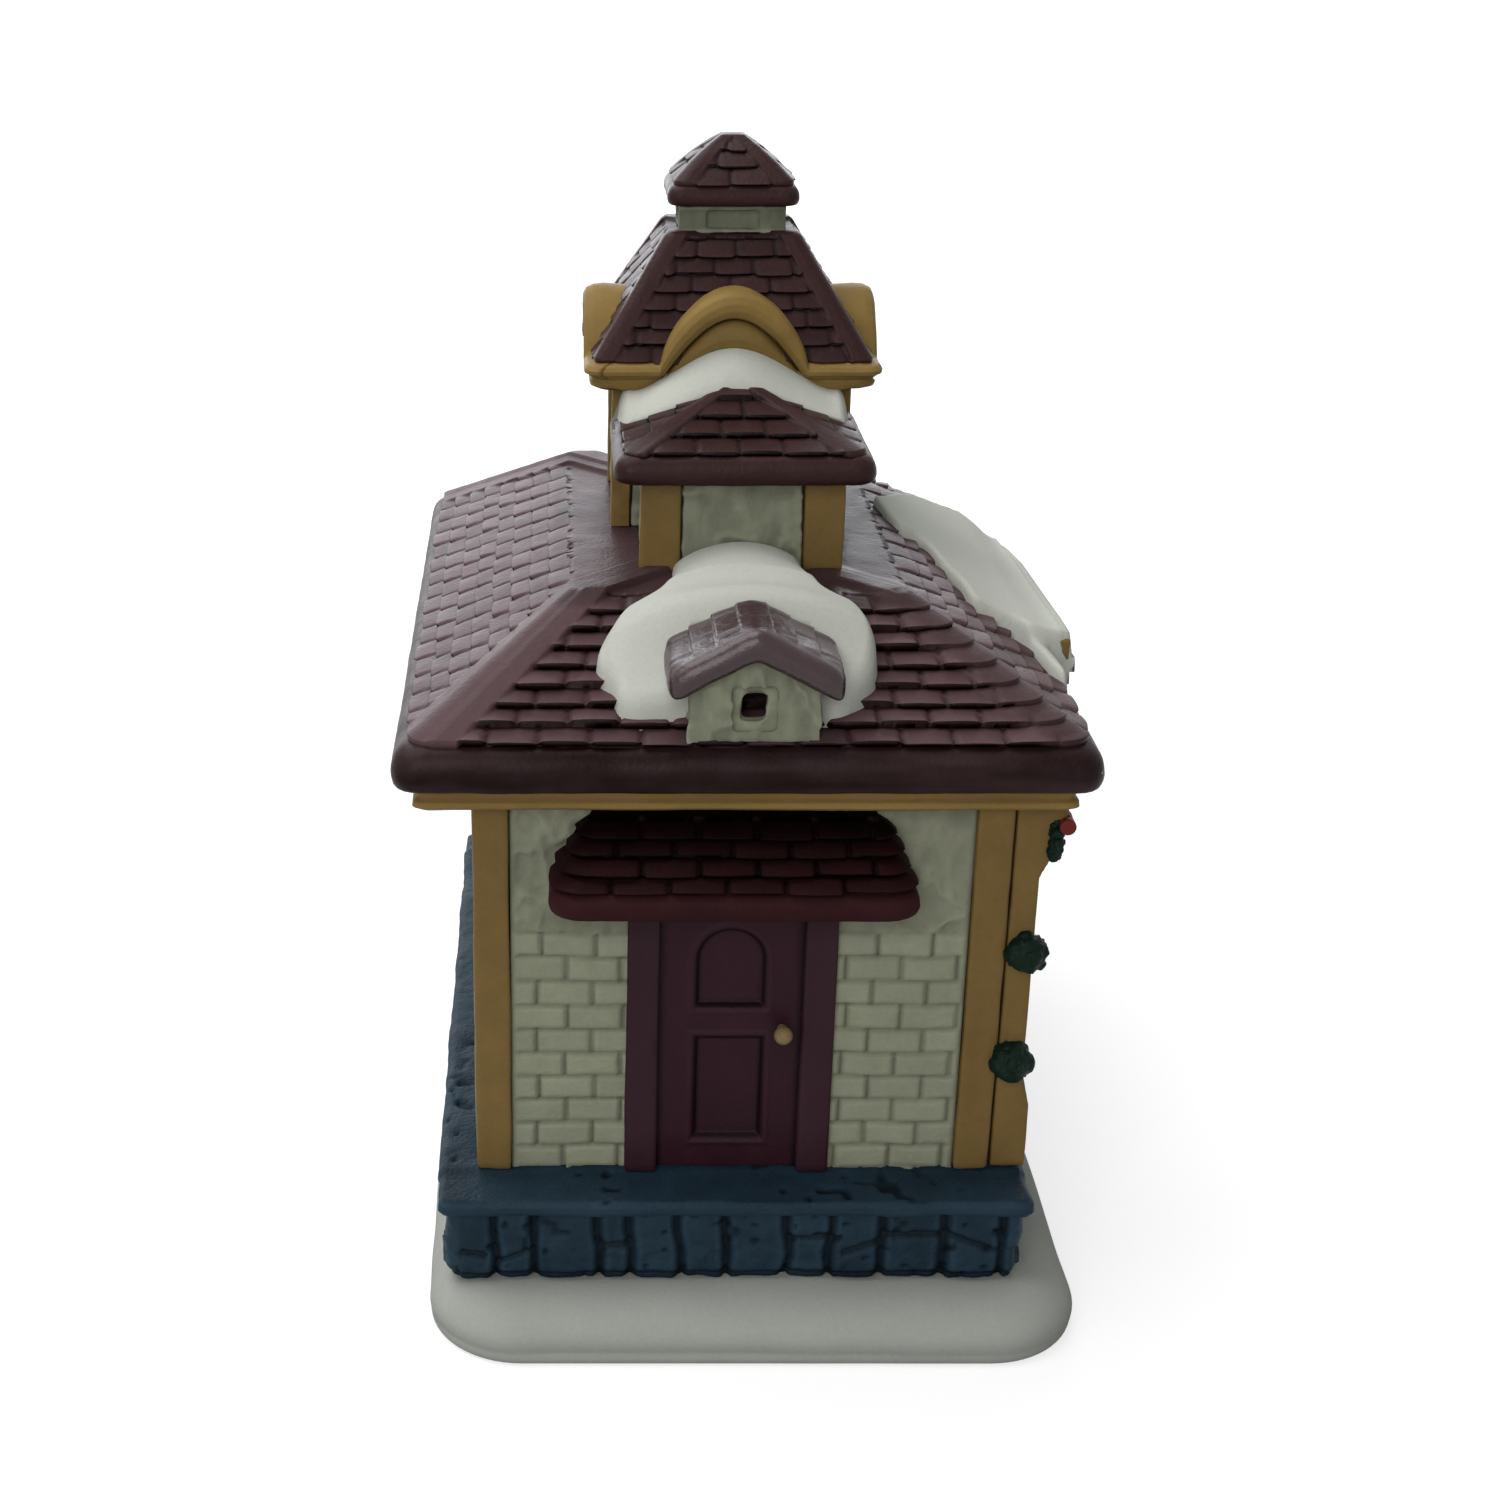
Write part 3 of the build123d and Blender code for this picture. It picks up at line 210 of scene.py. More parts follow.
def brushwork_group():
    """Hand-brushed matt paint on bisque: uneven strokes, dark wash in the hollows and bare chips. The wash
    also carries painted shade and painted shadow, and the tone carries painted highlights, where a piece's
    marks put them.
    """
    group = bpy.data.node_groups.new("brushwork", "ShaderNodeTree")
    for label, kind, value in (
        ("Paint", "NodeSocketColor", (0.5, 0.5, 0.5, 1)),
        ("Wash and shade", "NodeSocketColor", (0.05, 0.05, 0.05, 1)),
        ("Bare", "NodeSocketColor", (0.47, 0.47, 0.44, 1)),
        ("Stroke size", "NodeSocketFloat", 140.0),
        ("Stroke depth", "NodeSocketFloat", 0.3),
        ("Wash and shade amount", "NodeSocketFloat", 0.9),
        ("Grain size", "NodeSocketFloat", 1600.0),
    ):
        socket = group.interface.new_socket(label, in_out="INPUT", socket_type=kind)
        socket.default_value = value
    group.interface.new_socket("Color", in_out="OUTPUT", socket_type="NodeSocketColor")
    group.interface.new_socket("Height", in_out="OUTPUT", socket_type="NodeSocketFloat")
    group.interface.new_socket("Roughness shift", in_out="OUTPUT", socket_type="NodeSocketFloat")
    nodes = group.nodes
    given = nodes.new("NodeGroupInput")
    result = nodes.new("NodeGroupOutput")
    place = nodes.new("ShaderNodeTexCoord")

    def attribute(label):
        node = nodes.new("ShaderNodeAttribute")
        node.attribute_name = label
        return node

    def math_node(operation, first=None, second=None, clamp=False):
        node = nodes.new("ShaderNodeMath")
        node.operation = operation
        node.use_clamp = clamp
        for socket, value in ((0, first), (1, second)):
            if isinstance(value, (int, float)):
                node.inputs[socket].default_value = value
            elif value is not None:
                group.links.new(value, node.inputs[socket])
        return node.outputs[0]

    stroke = nodes.new("ShaderNodeTexNoise")
    stroke.inputs["Detail"].default_value = 5.0
    stroke.inputs["Roughness"].default_value = 0.62
    node_link(group, place, "Object", stroke, "Vector")
    node_link(group, given, "Stroke size", stroke, "Scale")
    grain = nodes.new("ShaderNodeTexNoise")
    grain.inputs["Detail"].default_value = 3.0
    node_link(group, place, "Object", grain, "Vector")
    node_link(group, given, "Grain size", grain, "Scale")
    tone = attribute("tone").outputs["Fac"]
    wash_and_shade = attribute("wash_and_shade").outputs["Fac"]
    chip = attribute("chip").outputs["Fac"]
    uneven = math_node("SUBTRACT", stroke.outputs["Fac"], 0.5)
    deep = math_node("MULTIPLY", uneven, given.outputs["Stroke depth"])
    speck = math_node("MULTIPLY", math_node("SUBTRACT", grain.outputs["Fac"], 0.5), 0.16)
    light = math_node("ADD", math_node("ADD", deep, speck), math_node("MULTIPLY", tone, 0.34))
    light = math_node("ADD", light, 1.0)
    shaded = nodes.new("ShaderNodeVectorMath")
    shaded.operation = "SCALE"
    node_link(group, given, "Paint", shaded, 0)
    group.links.new(light, shaded.inputs["Scale"])
    pooled_wash_and_shade = math_node("ADD", wash_and_shade, math_node("MULTIPLY", uneven, 0.5))
    pooled_wash_and_shade = math_node("MULTIPLY", pooled_wash_and_shade, math_node("GREATER_THAN", wash_and_shade, 0.02))
    pooled_wash_and_shade = math_node("MULTIPLY", pooled_wash_and_shade, given.outputs["Wash and shade amount"], clamp=True)
    washed_and_shaded = nodes.new("ShaderNodeMix")
    washed_and_shaded.data_type = "RGBA"
    group.links.new(pooled_wash_and_shade, washed_and_shaded.inputs["Factor"])
    node_link(group, shaded, "Vector", washed_and_shaded, "A")
    node_link(group, given, "Wash and shade", washed_and_shaded, "B")
    worn = math_node("MULTIPLY", math_node("SUBTRACT", grain.outputs["Fac"], 0.5), 0.9)
    worn = math_node("ADD", chip, worn)
    worn = math_node("MULTIPLY", math_node("SUBTRACT", worn, 0.62), 9.0, clamp=True)
    chipped = nodes.new("ShaderNodeMix")
    chipped.data_type = "RGBA"
    group.links.new(worn, chipped.inputs["Factor"])
    group.links.new(washed_and_shaded.outputs["Result"], chipped.inputs["A"])
    node_link(group, given, "Bare", chipped, "B")
    group.links.new(chipped.outputs["Result"], result.inputs["Color"])
    height = math_node("ADD", grain.outputs["Fac"], math_node("MULTIPLY", stroke.outputs["Fac"], 1.4))
    group.links.new(height, result.inputs["Height"])
    group.links.new(math_node("MULTIPLY", uneven, 0.25), result.inputs["Roughness shift"])
    return group


brushwork = brushwork_group()


def bisque_paint(
    name, paint, wash_and_shade, roughness, stroke_depth=0.3, stroke_size=140.0, wash_and_shade_amount=0.9, bump=0.12, sheen=0.08
):
    """Painted bisque porcelain. Colours are linear."""
    material = bpy.data.materials.new(name)
    material.use_nodes = True
    tree = material.node_tree
    shader = tree.nodes["Principled BSDF"]
    coat = tree.nodes.new("ShaderNodeGroup")
    coat.node_tree = brushwork
    coat.inputs["Paint"].default_value = (*paint, 1)
    coat.inputs["Wash and shade"].default_value = (*wash_and_shade, 1)
    coat.inputs["Stroke size"].default_value = stroke_size
    coat.inputs["Stroke depth"].default_value = stroke_depth
    coat.inputs["Wash and shade amount"].default_value = wash_and_shade_amount
    shader.inputs["Specular IOR Level"].default_value = sheen
    node_link(tree, coat, "Color", shader, "Base Color")
    uneven = tree.nodes.new("ShaderNodeMath")
    uneven.operation = "ADD"
    uneven.inputs[1].default_value = roughness
    node_link(tree, coat, "Roughness shift", uneven, 0)
    node_link(tree, uneven, 0, shader, "Roughness")
    relief = tree.nodes.new("ShaderNodeBump")
    relief.inputs["Strength"].default_value = bump
    relief.inputs["Distance"].default_value = 0.0006
    node_link(tree, coat, "Height", relief, "Height")
    node_link(tree, relief, "Normal", shader, "Normal")
    return material


# The base's white is greyer than the roof snow's: painted shade standing in for the shade on the base's
# front.
shaded_base_white = bisque_paint(
    "shaded_base_white",
    paint=(0.35, 0.362, 0.33),
    wash_and_shade=(0.24, 0.253, 0.227),
    roughness=0.8,
    stroke_depth=0.12,
    stroke_size=90.0,
    wash_and_shade_amount=0.5,
    bump=0.1,
)
base_low, base_high = node_box("snow_base")
base_middle = (base_low + base_high) / 2
base_half = (base_high - base_low) / 2
base_top = base_high[2]
base_corner = 15.0
base_corner_draw = 10.0
base_flat = 7.0
base_wave = 0.5
base_dent = 0.2
base_room = 0.7


def rolled_edge(reach, low, high, count, tuck=0.2, crown=0.45):
    """Rows up a thick edge from its underside to its top. Tuck and crown are how far it draws in below and
    above, as shares of its height."""
    knee = low + 0.35 * (high - low)
    rows = []
    for part in range(count + 1):
        angle = math.pi * (part / count - 0.5)
        height, depth = (high - knee, crown) if angle > 0 else (knee - low, tuck)
        inset = depth * (high - low) * (1 - math.cos(angle))
        rows.append((reach[0] - inset, reach[1] - inset, knee + height * math.sin(angle)))
    return rows


base_rows = rolled_edge(base_half, 0.0, base_top, count=30, tuck=0.25, crown=1.0)
base_inner = (base_rows[-1][0] - base_flat, base_rows[-1][1] - base_flat, base_top)
base_rows += between([base_rows[-1], base_inner], [14])[1:]
base_points, *_ = ring(
    base_middle,
    [(*row, base_corner - min(base_half[0] - row[0], base_corner_draw)) for row in base_rows],
    spacing=0.9,
    corner_steps=16,
)
base_swell = lumps(base_points, 26, 3) * base_wave + lumps(base_points, 9, 5) * base_dent - base_room
base_swell = base_swell * step(0.0, 2.0, base_points[..., 2])
base_points = base_points + outward(base_points) * base_swell[..., None]
base_points[..., 2] = np.maximum(base_points[..., 2], 0)
base_marks = {
    "tone": lumps(base_points, 30, 8) * 0.12,
    "wash_and_shade": 0.35 * step(0.35, 0.9, lumps(base_points, 11, 9)) * step(6, 2, base_points[..., 2]),
}
set_piece("snow_base", lay_grid(base_points, base_marks), shaded_base_white)

# Stone foundation: rubble blocks modelled in the clay and painted blue-grey.
# Deep joints part the blocks, some blocks are split in two, and small pinholes are left from casting.
stone_low, stone_high = node_box("foundation_stones")
stone_blue = bisque_paint(
    "stone_blue",
    paint=(0.014, 0.03, 0.0453),
    wash_and_shade=(0.00133, 0.00333, 0.00533),
    roughness=0.55,
    stroke_depth=0.7,
    stroke_size=170.0,
    wash_and_shade_amount=0.95,
    bump=0.3,
)
stone_width = 7.6
stone_middle = stone_width / 2
stone_stray = 4.4
stone_sunk = 0.5
stone_corner = 2.2
side_apart = 400
joint_depth = 1.15
pit_depth = 0.45


def rough(points, cell, seed):
    """Lumps with two finer layers on them."""
    return (
        lumps(points, cell, seed)
        + 0.5 * lumps(points, cell * 0.47, seed + 1)
        + 0.25 * lumps(points, cell * 0.22, seed + 2)
    ) / 1.75


stone_rows = between(
    [(0.3, stone_low[2] - 0.6), (0.0, stone_low[2] + 1.2), (0.0, stone_high[2] + 0.2)],
    [5, 30],
)
stone_points, stone_run, stone_end, stone_side = ring(
    (0, 0),
    [
        (stone_high[0] - inset - stone_sunk, stone_high[1] - inset - stone_sunk, level, stone_corner)
        for inset, level in stone_rows
    ],
    spacing=0.4,
)
stone_place = stone_run + side_apart * stone_side[None, :] + np.where(stone_end > 0, 0, 3.0)
stone_index = np.floor(stone_place / stone_width).astype(int)
stone_edges = [
    (stone_index + offset) * stone_width + (chance(stone_index + offset, 0, 11) - 0.5) * stone_stray
    for offset in (-1, 0, 1, 2)
]
stone_level = stone_points[..., 2] - stone_low[2]
stone_lean = lumps(stone_points, 5, 12) * 0.7
stone_gap = np.min([abs(stone_place + stone_lean - edge) for edge in stone_edges], axis=0)
stone_number = stone_index + sum(np.where(stone_place + stone_lean > edge, 1, 0) for edge in stone_edges)
stone_slant = (stone_place % stone_width - stone_middle) * (chance(stone_number, 2, 14) - 0.5) * 0.9
stone_split = 3.4 + 3.8 * chance(stone_number, 1, 13) + stone_slant
split_gap = np.where(chance(stone_number, 3, 15) < 0.62, abs(stone_level - stone_split), 9.0)
stone_half = np.where(stone_level > stone_split, 1, 0)
joint = np.exp(-((stone_gap / 0.62) ** 2)) + 0.85 * np.exp(-((split_gap / 0.5) ** 2))
joint = np.clip(joint + 0.8 * np.exp(-((stone_level / 0.7) ** 2)), 0, 1.15)
stone_pits = step(0.62, 0.85, lumps(stone_points, 1.5, 16))
stone_face = 0.6 * (chance(stone_number, stone_half, 17) - 0.3) + 0.5 * rough(stone_points, 3.4, 18)
stone_push = stone_face - joint_depth * joint - pit_depth * stone_pits * (1 - joint)
stone_points = stone_points + outward(stone_points) * stone_push[..., None]
# A band just inside each block's edge is painted lighter: a painted highlight along the arrises.
stone_edge_highlight = step(0.7, 1.1, stone_gap) * step(1.9, 1.3, stone_gap) * step(0.35, 0.1, joint)
stone_tone = 1.2 * (chance(stone_number, stone_half, 19) - 0.4) + 0.9 * stone_edge_highlight
stone_tone = stone_tone + 0.8 * rough(stone_points, 2.6, 25)
stone_marks = {"tone": stone_tone, "wash_and_shade": np.clip(joint * 0.9 + stone_pits * 0.7, 0, 1)}
set_piece("foundation_stones", lay_grid(stone_points, stone_marks), stone_blue)

# Ledge on the foundation: a dressed stone band, hand-smoothed, with pits along its top.
# It is cast with the foundation and painted in the same blue-grey, brushed lighter on its face.
ledge_low, ledge_high = node_box("foundation_ledge")
wall_low = node_box("front_wall")[0]
panel_reach = -wall_low[1]
side_reach = node_box("street_wall")[1][0]
ledge_inside = (side_reach - 1.0, panel_reach - 1.0)
ledge_corner = 1.6
ledge_wave = 0.45
ledge_pit = 0.7
ledge_rows = between(
    [
        (ledge_high[0] - 2.2, ledge_high[1] - 2.2, ledge_low[2] - 0.1),
        (ledge_high[0] - 0.4, ledge_high[1] - 0.4, ledge_low[2] + 0.1),
        (ledge_high[0], ledge_high[1], ledge_low[2] + 0.8),
        (ledge_high[0] - 0.1, ledge_high[1] - 0.1, ledge_high[2] - 0.9),
        (ledge_high[0] - 0.9, ledge_high[1] - 0.9, ledge_high[2] - 0.1),
        (*ledge_inside, ledge_high[2]),
    ],
    [3, 3, 4, 4, 16],
)
ledge_points, *_ = ring((0, 0), [(*row, ledge_corner) for row in ledge_rows], spacing=0.5)
ledge_top = step(ledge_high[2] - 0.6, ledge_high[2], ledge_points[..., 2])
ledge_pits = step(0.5, 0.8, lumps(ledge_points, 1.9, 22)) * ledge_top
ledge_pits = ledge_pits * step(0.1, 0.6, lumps(ledge_points, 14, 23))
ledge_push = ledge_wave * rough(ledge_points, 7, 20) - 0.2 - ledge_pit * ledge_pits
ledge_push = ledge_push + 0.3 * step(panel_reach + 1.2, panel_reach, abs(ledge_points[..., 1]))
ledge_points = ledge_points + outward(ledge_points) * ledge_push[..., None]
ledge_marks = {
    "tone": 1.2 * rough(ledge_points * (0.25, 0.25, 1.0), 3.0, 21) + 0.4 * (1 - ledge_top),
    "wash_and_shade": np.clip(ledge_pits + 0.5 * ledge_top * step(-0.1, 0.5, lumps(ledge_points, 9, 24)), 0, 1),
}
set_piece("foundation_ledge", lay_grid(ledge_points, ledge_marks), stone_blue)

# Walls: thin cast slabs with brick pressed in below and rough plaster above, in one cream paint.
# A grey-green wash is left in the joints. The rear wall has the round hole for the lamp.
wall_cream = bisque_paint(
    "wall_cream",
    paint=(0.293, 0.303, 0.217),
    wash_and_shade=(0.0867, 0.0967, 0.0667),
    roughness=0.72,
    stroke_depth=0.24,
    stroke_size=150.0,
    wash_and_shade_amount=0.85,
    bump=0.2,
)
brick_width = 8.2
brick_top = 62.6
brick_count = 10
wall_bed = 0.6
wall_skin = 0.6
hole_trim = 0.6
floor_level = wall_low[2]
brick_height = (brick_top - floor_level) / brick_count


def plaster_relief(points, seed):
    """Trowelled plaster: lumps, drag marks and a few raised ridges."""
    lump = rough(points, 4.2, seed + 3)
    ridge = step(0.8, 1.0, 1 - abs(rough(points, 6.5, seed)))
    drag = rough(points * (1, 1, 0.4), 1.8, seed + 7)
    push = 0.55 * lump + 0.5 * ridge + 0.16 * drag - 0.5
    wash_and_shade = np.clip(0.36 * step(0.1, -0.5, lump) * (1 - ridge) + 0.2 * step(0.1, -0.5, drag), 0, 1)
    tone = 0.35 * rough(points, 9, seed + 5) + 0.4 * ridge + 0.3 * drag - 0.5
    return push, tone, wash_and_shade


def brick_relief(run, level, points, seed):
    """Running-bond brick with soft arrises and narrow sunk joints."""
    bend = lumps(points, 6, seed) * 0.22
    course = np.floor((level + bend) / brick_height)
    rise = (level + bend) - course * brick_height
    shift = np.where(course % 2 == 0, 0.0, 0.5) + (chance(course, 0, seed + 1) - 0.5) * 0.16
    cell = (run + bend) / brick_width + shift
    number = np.floor(cell)
    across = (cell - number) * brick_width
    bed = np.minimum(rise, brick_height - rise)
    head = np.minimum(across, brick_width - across)
    bed_joint = np.exp(-((bed / 0.28) ** 2))
    head_joint = np.exp(-((head / 0.3) ** 2))
    joint = np.maximum(0.75 * bed_joint, head_joint)
    face = 0.3 * chance(number, course, seed + 2) + 0.1 * rough(points, 2.4, seed + 3)
    push = face - 0.85 * joint - 0.25
    tone = 0.3 * (chance(number, course, seed + 4) - 0.5) + 0.3 * rough(points, 2.0, seed + 6)
    wash_and_shade = np.clip(0.62 * bed_joint + 0.95 * head_joint, 0, 1)
    return push, tone, wash_and_shade


def wall_relief(run, level, points, seed):
    """Brick below, plaster above, and a plain strip along both ends."""
    brick = brick_relief(run, level - floor_level, points, seed)
    plaster = plaster_relief(points, seed + 20)
    share = step(brick_top - 0.3, brick_top + 0.4, level + lumps(points, 7, seed + 9) * 0.5)
    return [low * (1 - share) + high * share for low, high in zip(brick, plaster)]


def panel(origin, across, up, size, spacing):
    """Flat grid of points on a wall's face, with its run and rise in mm."""
    columns = int(size[0] / spacing) + 1
    rows = int(size[1] / spacing) + 1
    run = np.linspace(0, size[0], columns)[None, :].repeat(rows, 0)
    rise = np.linspace(0, size[1], rows)[:, None].repeat(columns, 1)
    points = np.array(origin) + run[..., None] * np.array(across) + rise[..., None] * np.array(up)
    return points, run, rise


def wall_slab(points, marks, inward, depth, holes):
    """Wall face with its holes cut, its edges turned in and a plain back."""
    mesh = lay_grid(points, marks, whole=False)
    bm = bmesh.new()
    bm.from_mesh(mesh)
    for inside, snap in holes:
        gone = [face for face in bm.faces if inside(face.calc_center_median() / MM)]
        bmesh.ops.delete(bm, geom=gone, context="FACES")
        for vertex in bm.verts:
            if snap is not None and vertex.is_boundary and inside(vertex.co / MM, 1.0):
                vertex.co = snap(vertex.co / MM) * MM
    rim = [edge for edge in bm.edges if edge.is_boundary]
    turned = bmesh.ops.extrude_edge_only(bm, edges=rim)["geom"]
    moved = [item for item in turned if isinstance(item, bmesh.types.BMVert)]
    bmesh.ops.translate(bm, verts=moved, vec=Vector(inward) * depth * MM)
    back = [item for item in turned if isinstance(item, bmesh.types.BMEdge)]
    bmesh.ops.triangle_fill(bm, edges=back, use_beauty=True)
    bmesh.ops.recalc_face_normals(bm, faces=bm.faces)
    bm.to_mesh(mesh)
    bm.free()
    return mesh


def box_hole(node):
    """Hole inside a CAD node's outline in the wall's plane, a little smaller than the node."""
    low, high = node_box(node)
    thin = int(np.argmin(high - low))
    axes = [axis for axis in range(3) if axis != thin]
    low[2] -= hole_trim + wall_bed

    def inside(spot, slack=0.0):
        rim = hole_trim - slack
        return all(low[axis] + rim < spot[axis] < high[axis] - rim for axis in axes)

    return inside, None


def arch_hole(node):
    """Hole inside the arched outline of a window or entrance on a long wall."""
    low, high = node_box(node)
    middle = (low[1] + high[1]) / 2
    radius = (high[1] - low[1]) / 2 - hole_trim
    spring = high[2] - (high[1] - low[1]) / 2

    def inside(spot, slack=0.0):
        if spot[2] > spring:
            return (spot[1] - middle) ** 2 + (spot[2] - spring) ** 2 < (radius + slack) ** 2
        return abs(spot[1] - middle) < radius + slack and spot[2] > low[2] + hole_trim - slack

    return inside, None


flange_low, flange_high = node_box("lamp_flange")
lamp_level = (flange_low[2] + flange_high[2]) / 2
lamp_hole_radius = 14.0


def lamp_inside(spot, slack=0.0):
    """Whether a spot of the rear wall lies in the lamp's round hole."""
    return spot[0] ** 2 + (spot[2] - lamp_level) ** 2 < (lamp_hole_radius + slack) ** 2


def lamp_snap(spot):
    """The nearest place on the hole's edge."""
    reach = lamp_hole_radius / math.hypot(spot[0], spot[2] - lamp_level)
    return Vector((spot[0] * reach, spot[1], lamp_level + (spot[2] - lamp_level) * reach))


# Each wall has its way along, its way in, its seed and its holes.
wall_plan = {
    "front_wall": ((1, 0, 0), (0, 1, 0), 31, [box_hole("door_frame")]),
    "rear_wall": ((-1, 0, 0), (0, -1, 0), 61, [(lamp_inside, lamp_snap)]),
    "street_wall": (
        (0, 1, 0),
        (-1, 0, 0),
        91,
        [
            arch_hole("entrance_surround"),
            arch_hole("window_frame_street_front"),
            arch_hole("window_frame_street_rear"),
        ],
    ),
    "back_wall": (
        (0, -1, 0),
        (1, 0, 0),
        121,
        [arch_hole("window_frame_back_front"), arch_hole("window_frame_back_rear")],
    ),
}
for wall_name, (across, inward, seed, holes) in wall_plan.items():
    low, high = node_box(wall_name)
    across, inward = np.array(across), np.array(inward)
    corner = np.where(across + inward > 0, low, high)
    corner[2] = low[2] - wall_bed
    width = abs((high - low) @ across)
    points, run, _ = panel(corner, across, (0, 0, 1), (width, high[2] - corner[2]), spacing=0.42)
    push, tone, wash_and_shade = wall_relief(run, points[..., 2], points, seed)
    edge = np.minimum(run, width - run)
    push = push * step(0.2, 1.4, edge) - 0.3 * step(0.8, 0.2, edge)
    wash_and_shade = np.clip(wash_and_shade * step(0.2, 1.2, edge) + 0.6 * step(0.7, 0.1, edge), 0, 1)
    points = points - inward * push[..., None]
    depth = abs((high - low) @ inward) - wall_skin
    slab = wall_slab(points, {"tone": tone, "wash_and_shade": wash_and_shade}, inward, depth, holes)
    set_piece(wall_name, slab, wall_cream)

# Corner posts and pilasters: square posts of the same casting, rounded by hand and painted ochre.
# The street front's pilasters have a bell plinth below and a corbel that flares out under the eave.
ochre = bisque_paint(
    "ochre",
    paint=(0.187, 0.121, 0.0407),
    wash_and_shade=(0.06, 0.0367, 0.0107),
    roughness=0.5,
    stroke_depth=0.4,
    stroke_size=190.0,
    wash_and_shade_amount=0.8,
    bump=0.12,
)


def cast_copy(node, voxel, soften, relief=None):
    """Softened casting of a CAD node: remeshed evenly and smoothed, then pushed about by its relief.
    The relief takes points and normals in mm and gives push, tone and wash."""
    bm = bmesh.new()
    bm.from_mesh(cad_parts[node].data)
    bmesh.ops.remove_doubles(bm, verts=bm.verts, dist=1e-6)
    mesh = bpy.data.meshes.new(node + "_rough")
    bm.to_mesh(mesh)
    bm.free()
    model = bpy.data.objects.new(node + "_rough", mesh)
    bpy.context.scene.collection.objects.link(model)
    fine = model.modifiers.new("even", "REMESH")
    fine.mode = "VOXEL"
    fine.voxel_size = voxel * MM
    smooth = model.modifiers.new("soft", "SMOOTH")
    smooth.factor = 0.5
    smooth.iterations = soften
    made = bpy.data.meshes.new_from_object(model.evaluated_get(bpy.context.evaluated_depsgraph_get()))
    bpy.data.objects.remove(model)
    count = len(made.vertices)
    points = np.empty(count * 3)
    normals = np.empty(count * 3)
    made.vertices.foreach_get("co", points)
    made.vertices.foreach_get("normal", normals)
    points, normals = points.reshape(-1, 3) / MM, normals.reshape(-1, 3)
    if relief is not None:
        push, *marks = relief(points, normals)
        points = points + normals * push[:, None]
        made.vertices.foreach_set("co", (points * MM).ravel())
        for mark, values in zip(("tone", "wash_and_shade"), marks):
            layer = made.attributes.new(mark, "FLOAT", "POINT")
            layer.data.foreach_set("value", np.asarray(values, np.float32))
    made.update()
    return made


def set_casting(node, voxel, soften, relief, material):
    """Puts a softened casting in place of its CAD node."""
    set_piece(node, cast_copy(node, voxel, soften, relief), material)


def post_relief(points, normals):
    """Slight waves of a hand-finished post, darker towards its foot."""
    wave = rough(points * (1, 1, 0.35), 6, 141)
    wash_and_shade = 0.45 * step(floor_level + 1.6, floor_level, points[:, 2])
    return 0.35 * wave - 0.15, 0.5 * wave, wash_and_shade


post_nodes = [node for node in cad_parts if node.startswith(("corner_post_", "pilaster_"))]
for node in sorted(post_nodes):
    set_casting(node, voxel=0.42, soften=5, relief=post_relief, material=ochre)

# Small door, moulded shut: a plum-painted surround and leaf with an arched panel over a square one.
# Surround and leaf are cast with the wall; the round knob is touched in with bronze paint.
door_plum = bisque_paint(
    "door_plum",
    paint=(0.0293, 0.0103, 0.016),
    wash_and_shade=(0.004, 0.00133, 0.002),
    roughness=0.42,
    stroke_depth=0.7,
    stroke_size=120.0,
    wash_and_shade_amount=0.95,
    bump=0.12,
)
frame_plum = bisque_paint(
    "frame_plum",
    paint=(0.034, 0.0147, 0.02),
    wash_and_shade=(0.00533, 0.002, 0.00333),
    roughness=0.45,
    stroke_depth=0.6,
    stroke_size=120.0,
    wash_and_shade_amount=0.9,
    bump=0.12,
)
leaf_low, leaf_high = node_box("door_leaf")
leaf_middle = (leaf_low[0] + leaf_high[0]) / 2
panel_half = 5.35
lower_panel = (leaf_low[2] + 4.8, leaf_low[2] + 22.6)
upper_panel = (leaf_low[2] + 27.2, leaf_low[2] + 40.5)
panel_bevel = 0.9
panel_sink = 0.95
bead_rise = 0.25


def panel_depth(points):
    """Distance inside the door's sunk panels, in mm, negative outside them."""
    x = abs(points[..., 0] - leaf_middle)
    z = points[..., 2]
    square = np.minimum(panel_half - x, np.minimum(z - lower_panel[0], lower_panel[1] - z))
    spring = upper_panel[1] - panel_half
    straight = np.minimum(panel_half - x, z - upper_panel[0])
    arched = np.where(z > spring, panel_half - np.hypot(x, z - spring), straight)
    return np.maximum(square, arched)


leaf_points, leaf_run, leaf_rise = panel(
    (leaf_low[0] - 0.3, leaf_low[1] + 0.1, leaf_low[2] - wall_bed),
    (1, 0, 0),
    (0, 0, 1),
    (leaf_high[0] - leaf_low[0] + 0.6, leaf_high[2] - leaf_low[2] + wall_bed + 0.4),
    spacing=0.24,
)
leaf_in = panel_depth(leaf_points)
leaf_bead = bead_rise * np.exp(-(((leaf_in + 0.5) / 0.4) ** 2))
leaf_push = panel_sink * step(0.0, panel_bevel, leaf_in) - leaf_bead + 0.07 * rough(leaf_points, 5, 151)
leaf_points[..., 1] += leaf_push
leaf_edge = np.minimum(leaf_run, leaf_run.max() - leaf_run)
leaf_wash = 0.9 * np.exp(-(((leaf_in - 0.55) / 0.45) ** 2)) + 0.8 * step(1.4, 0.2, leaf_edge)
leaf_marks = {
    "tone": 0.5 * rough(leaf_points * (1, 1, 0.3), 4, 152) + 0.5 * np.exp(-(((leaf_in + 0.5) / 0.5) ** 2)),
    "wash_and_shade": np.clip(leaf_wash + 0.7 * step(1.5, 0, leaf_rise), 0, 1),
}
leaf = wall_slab(leaf_points, leaf_marks, inward=(0, 1, 0), depth=1.6, holes=[])
set_piece("door_leaf", leaf, door_plum)


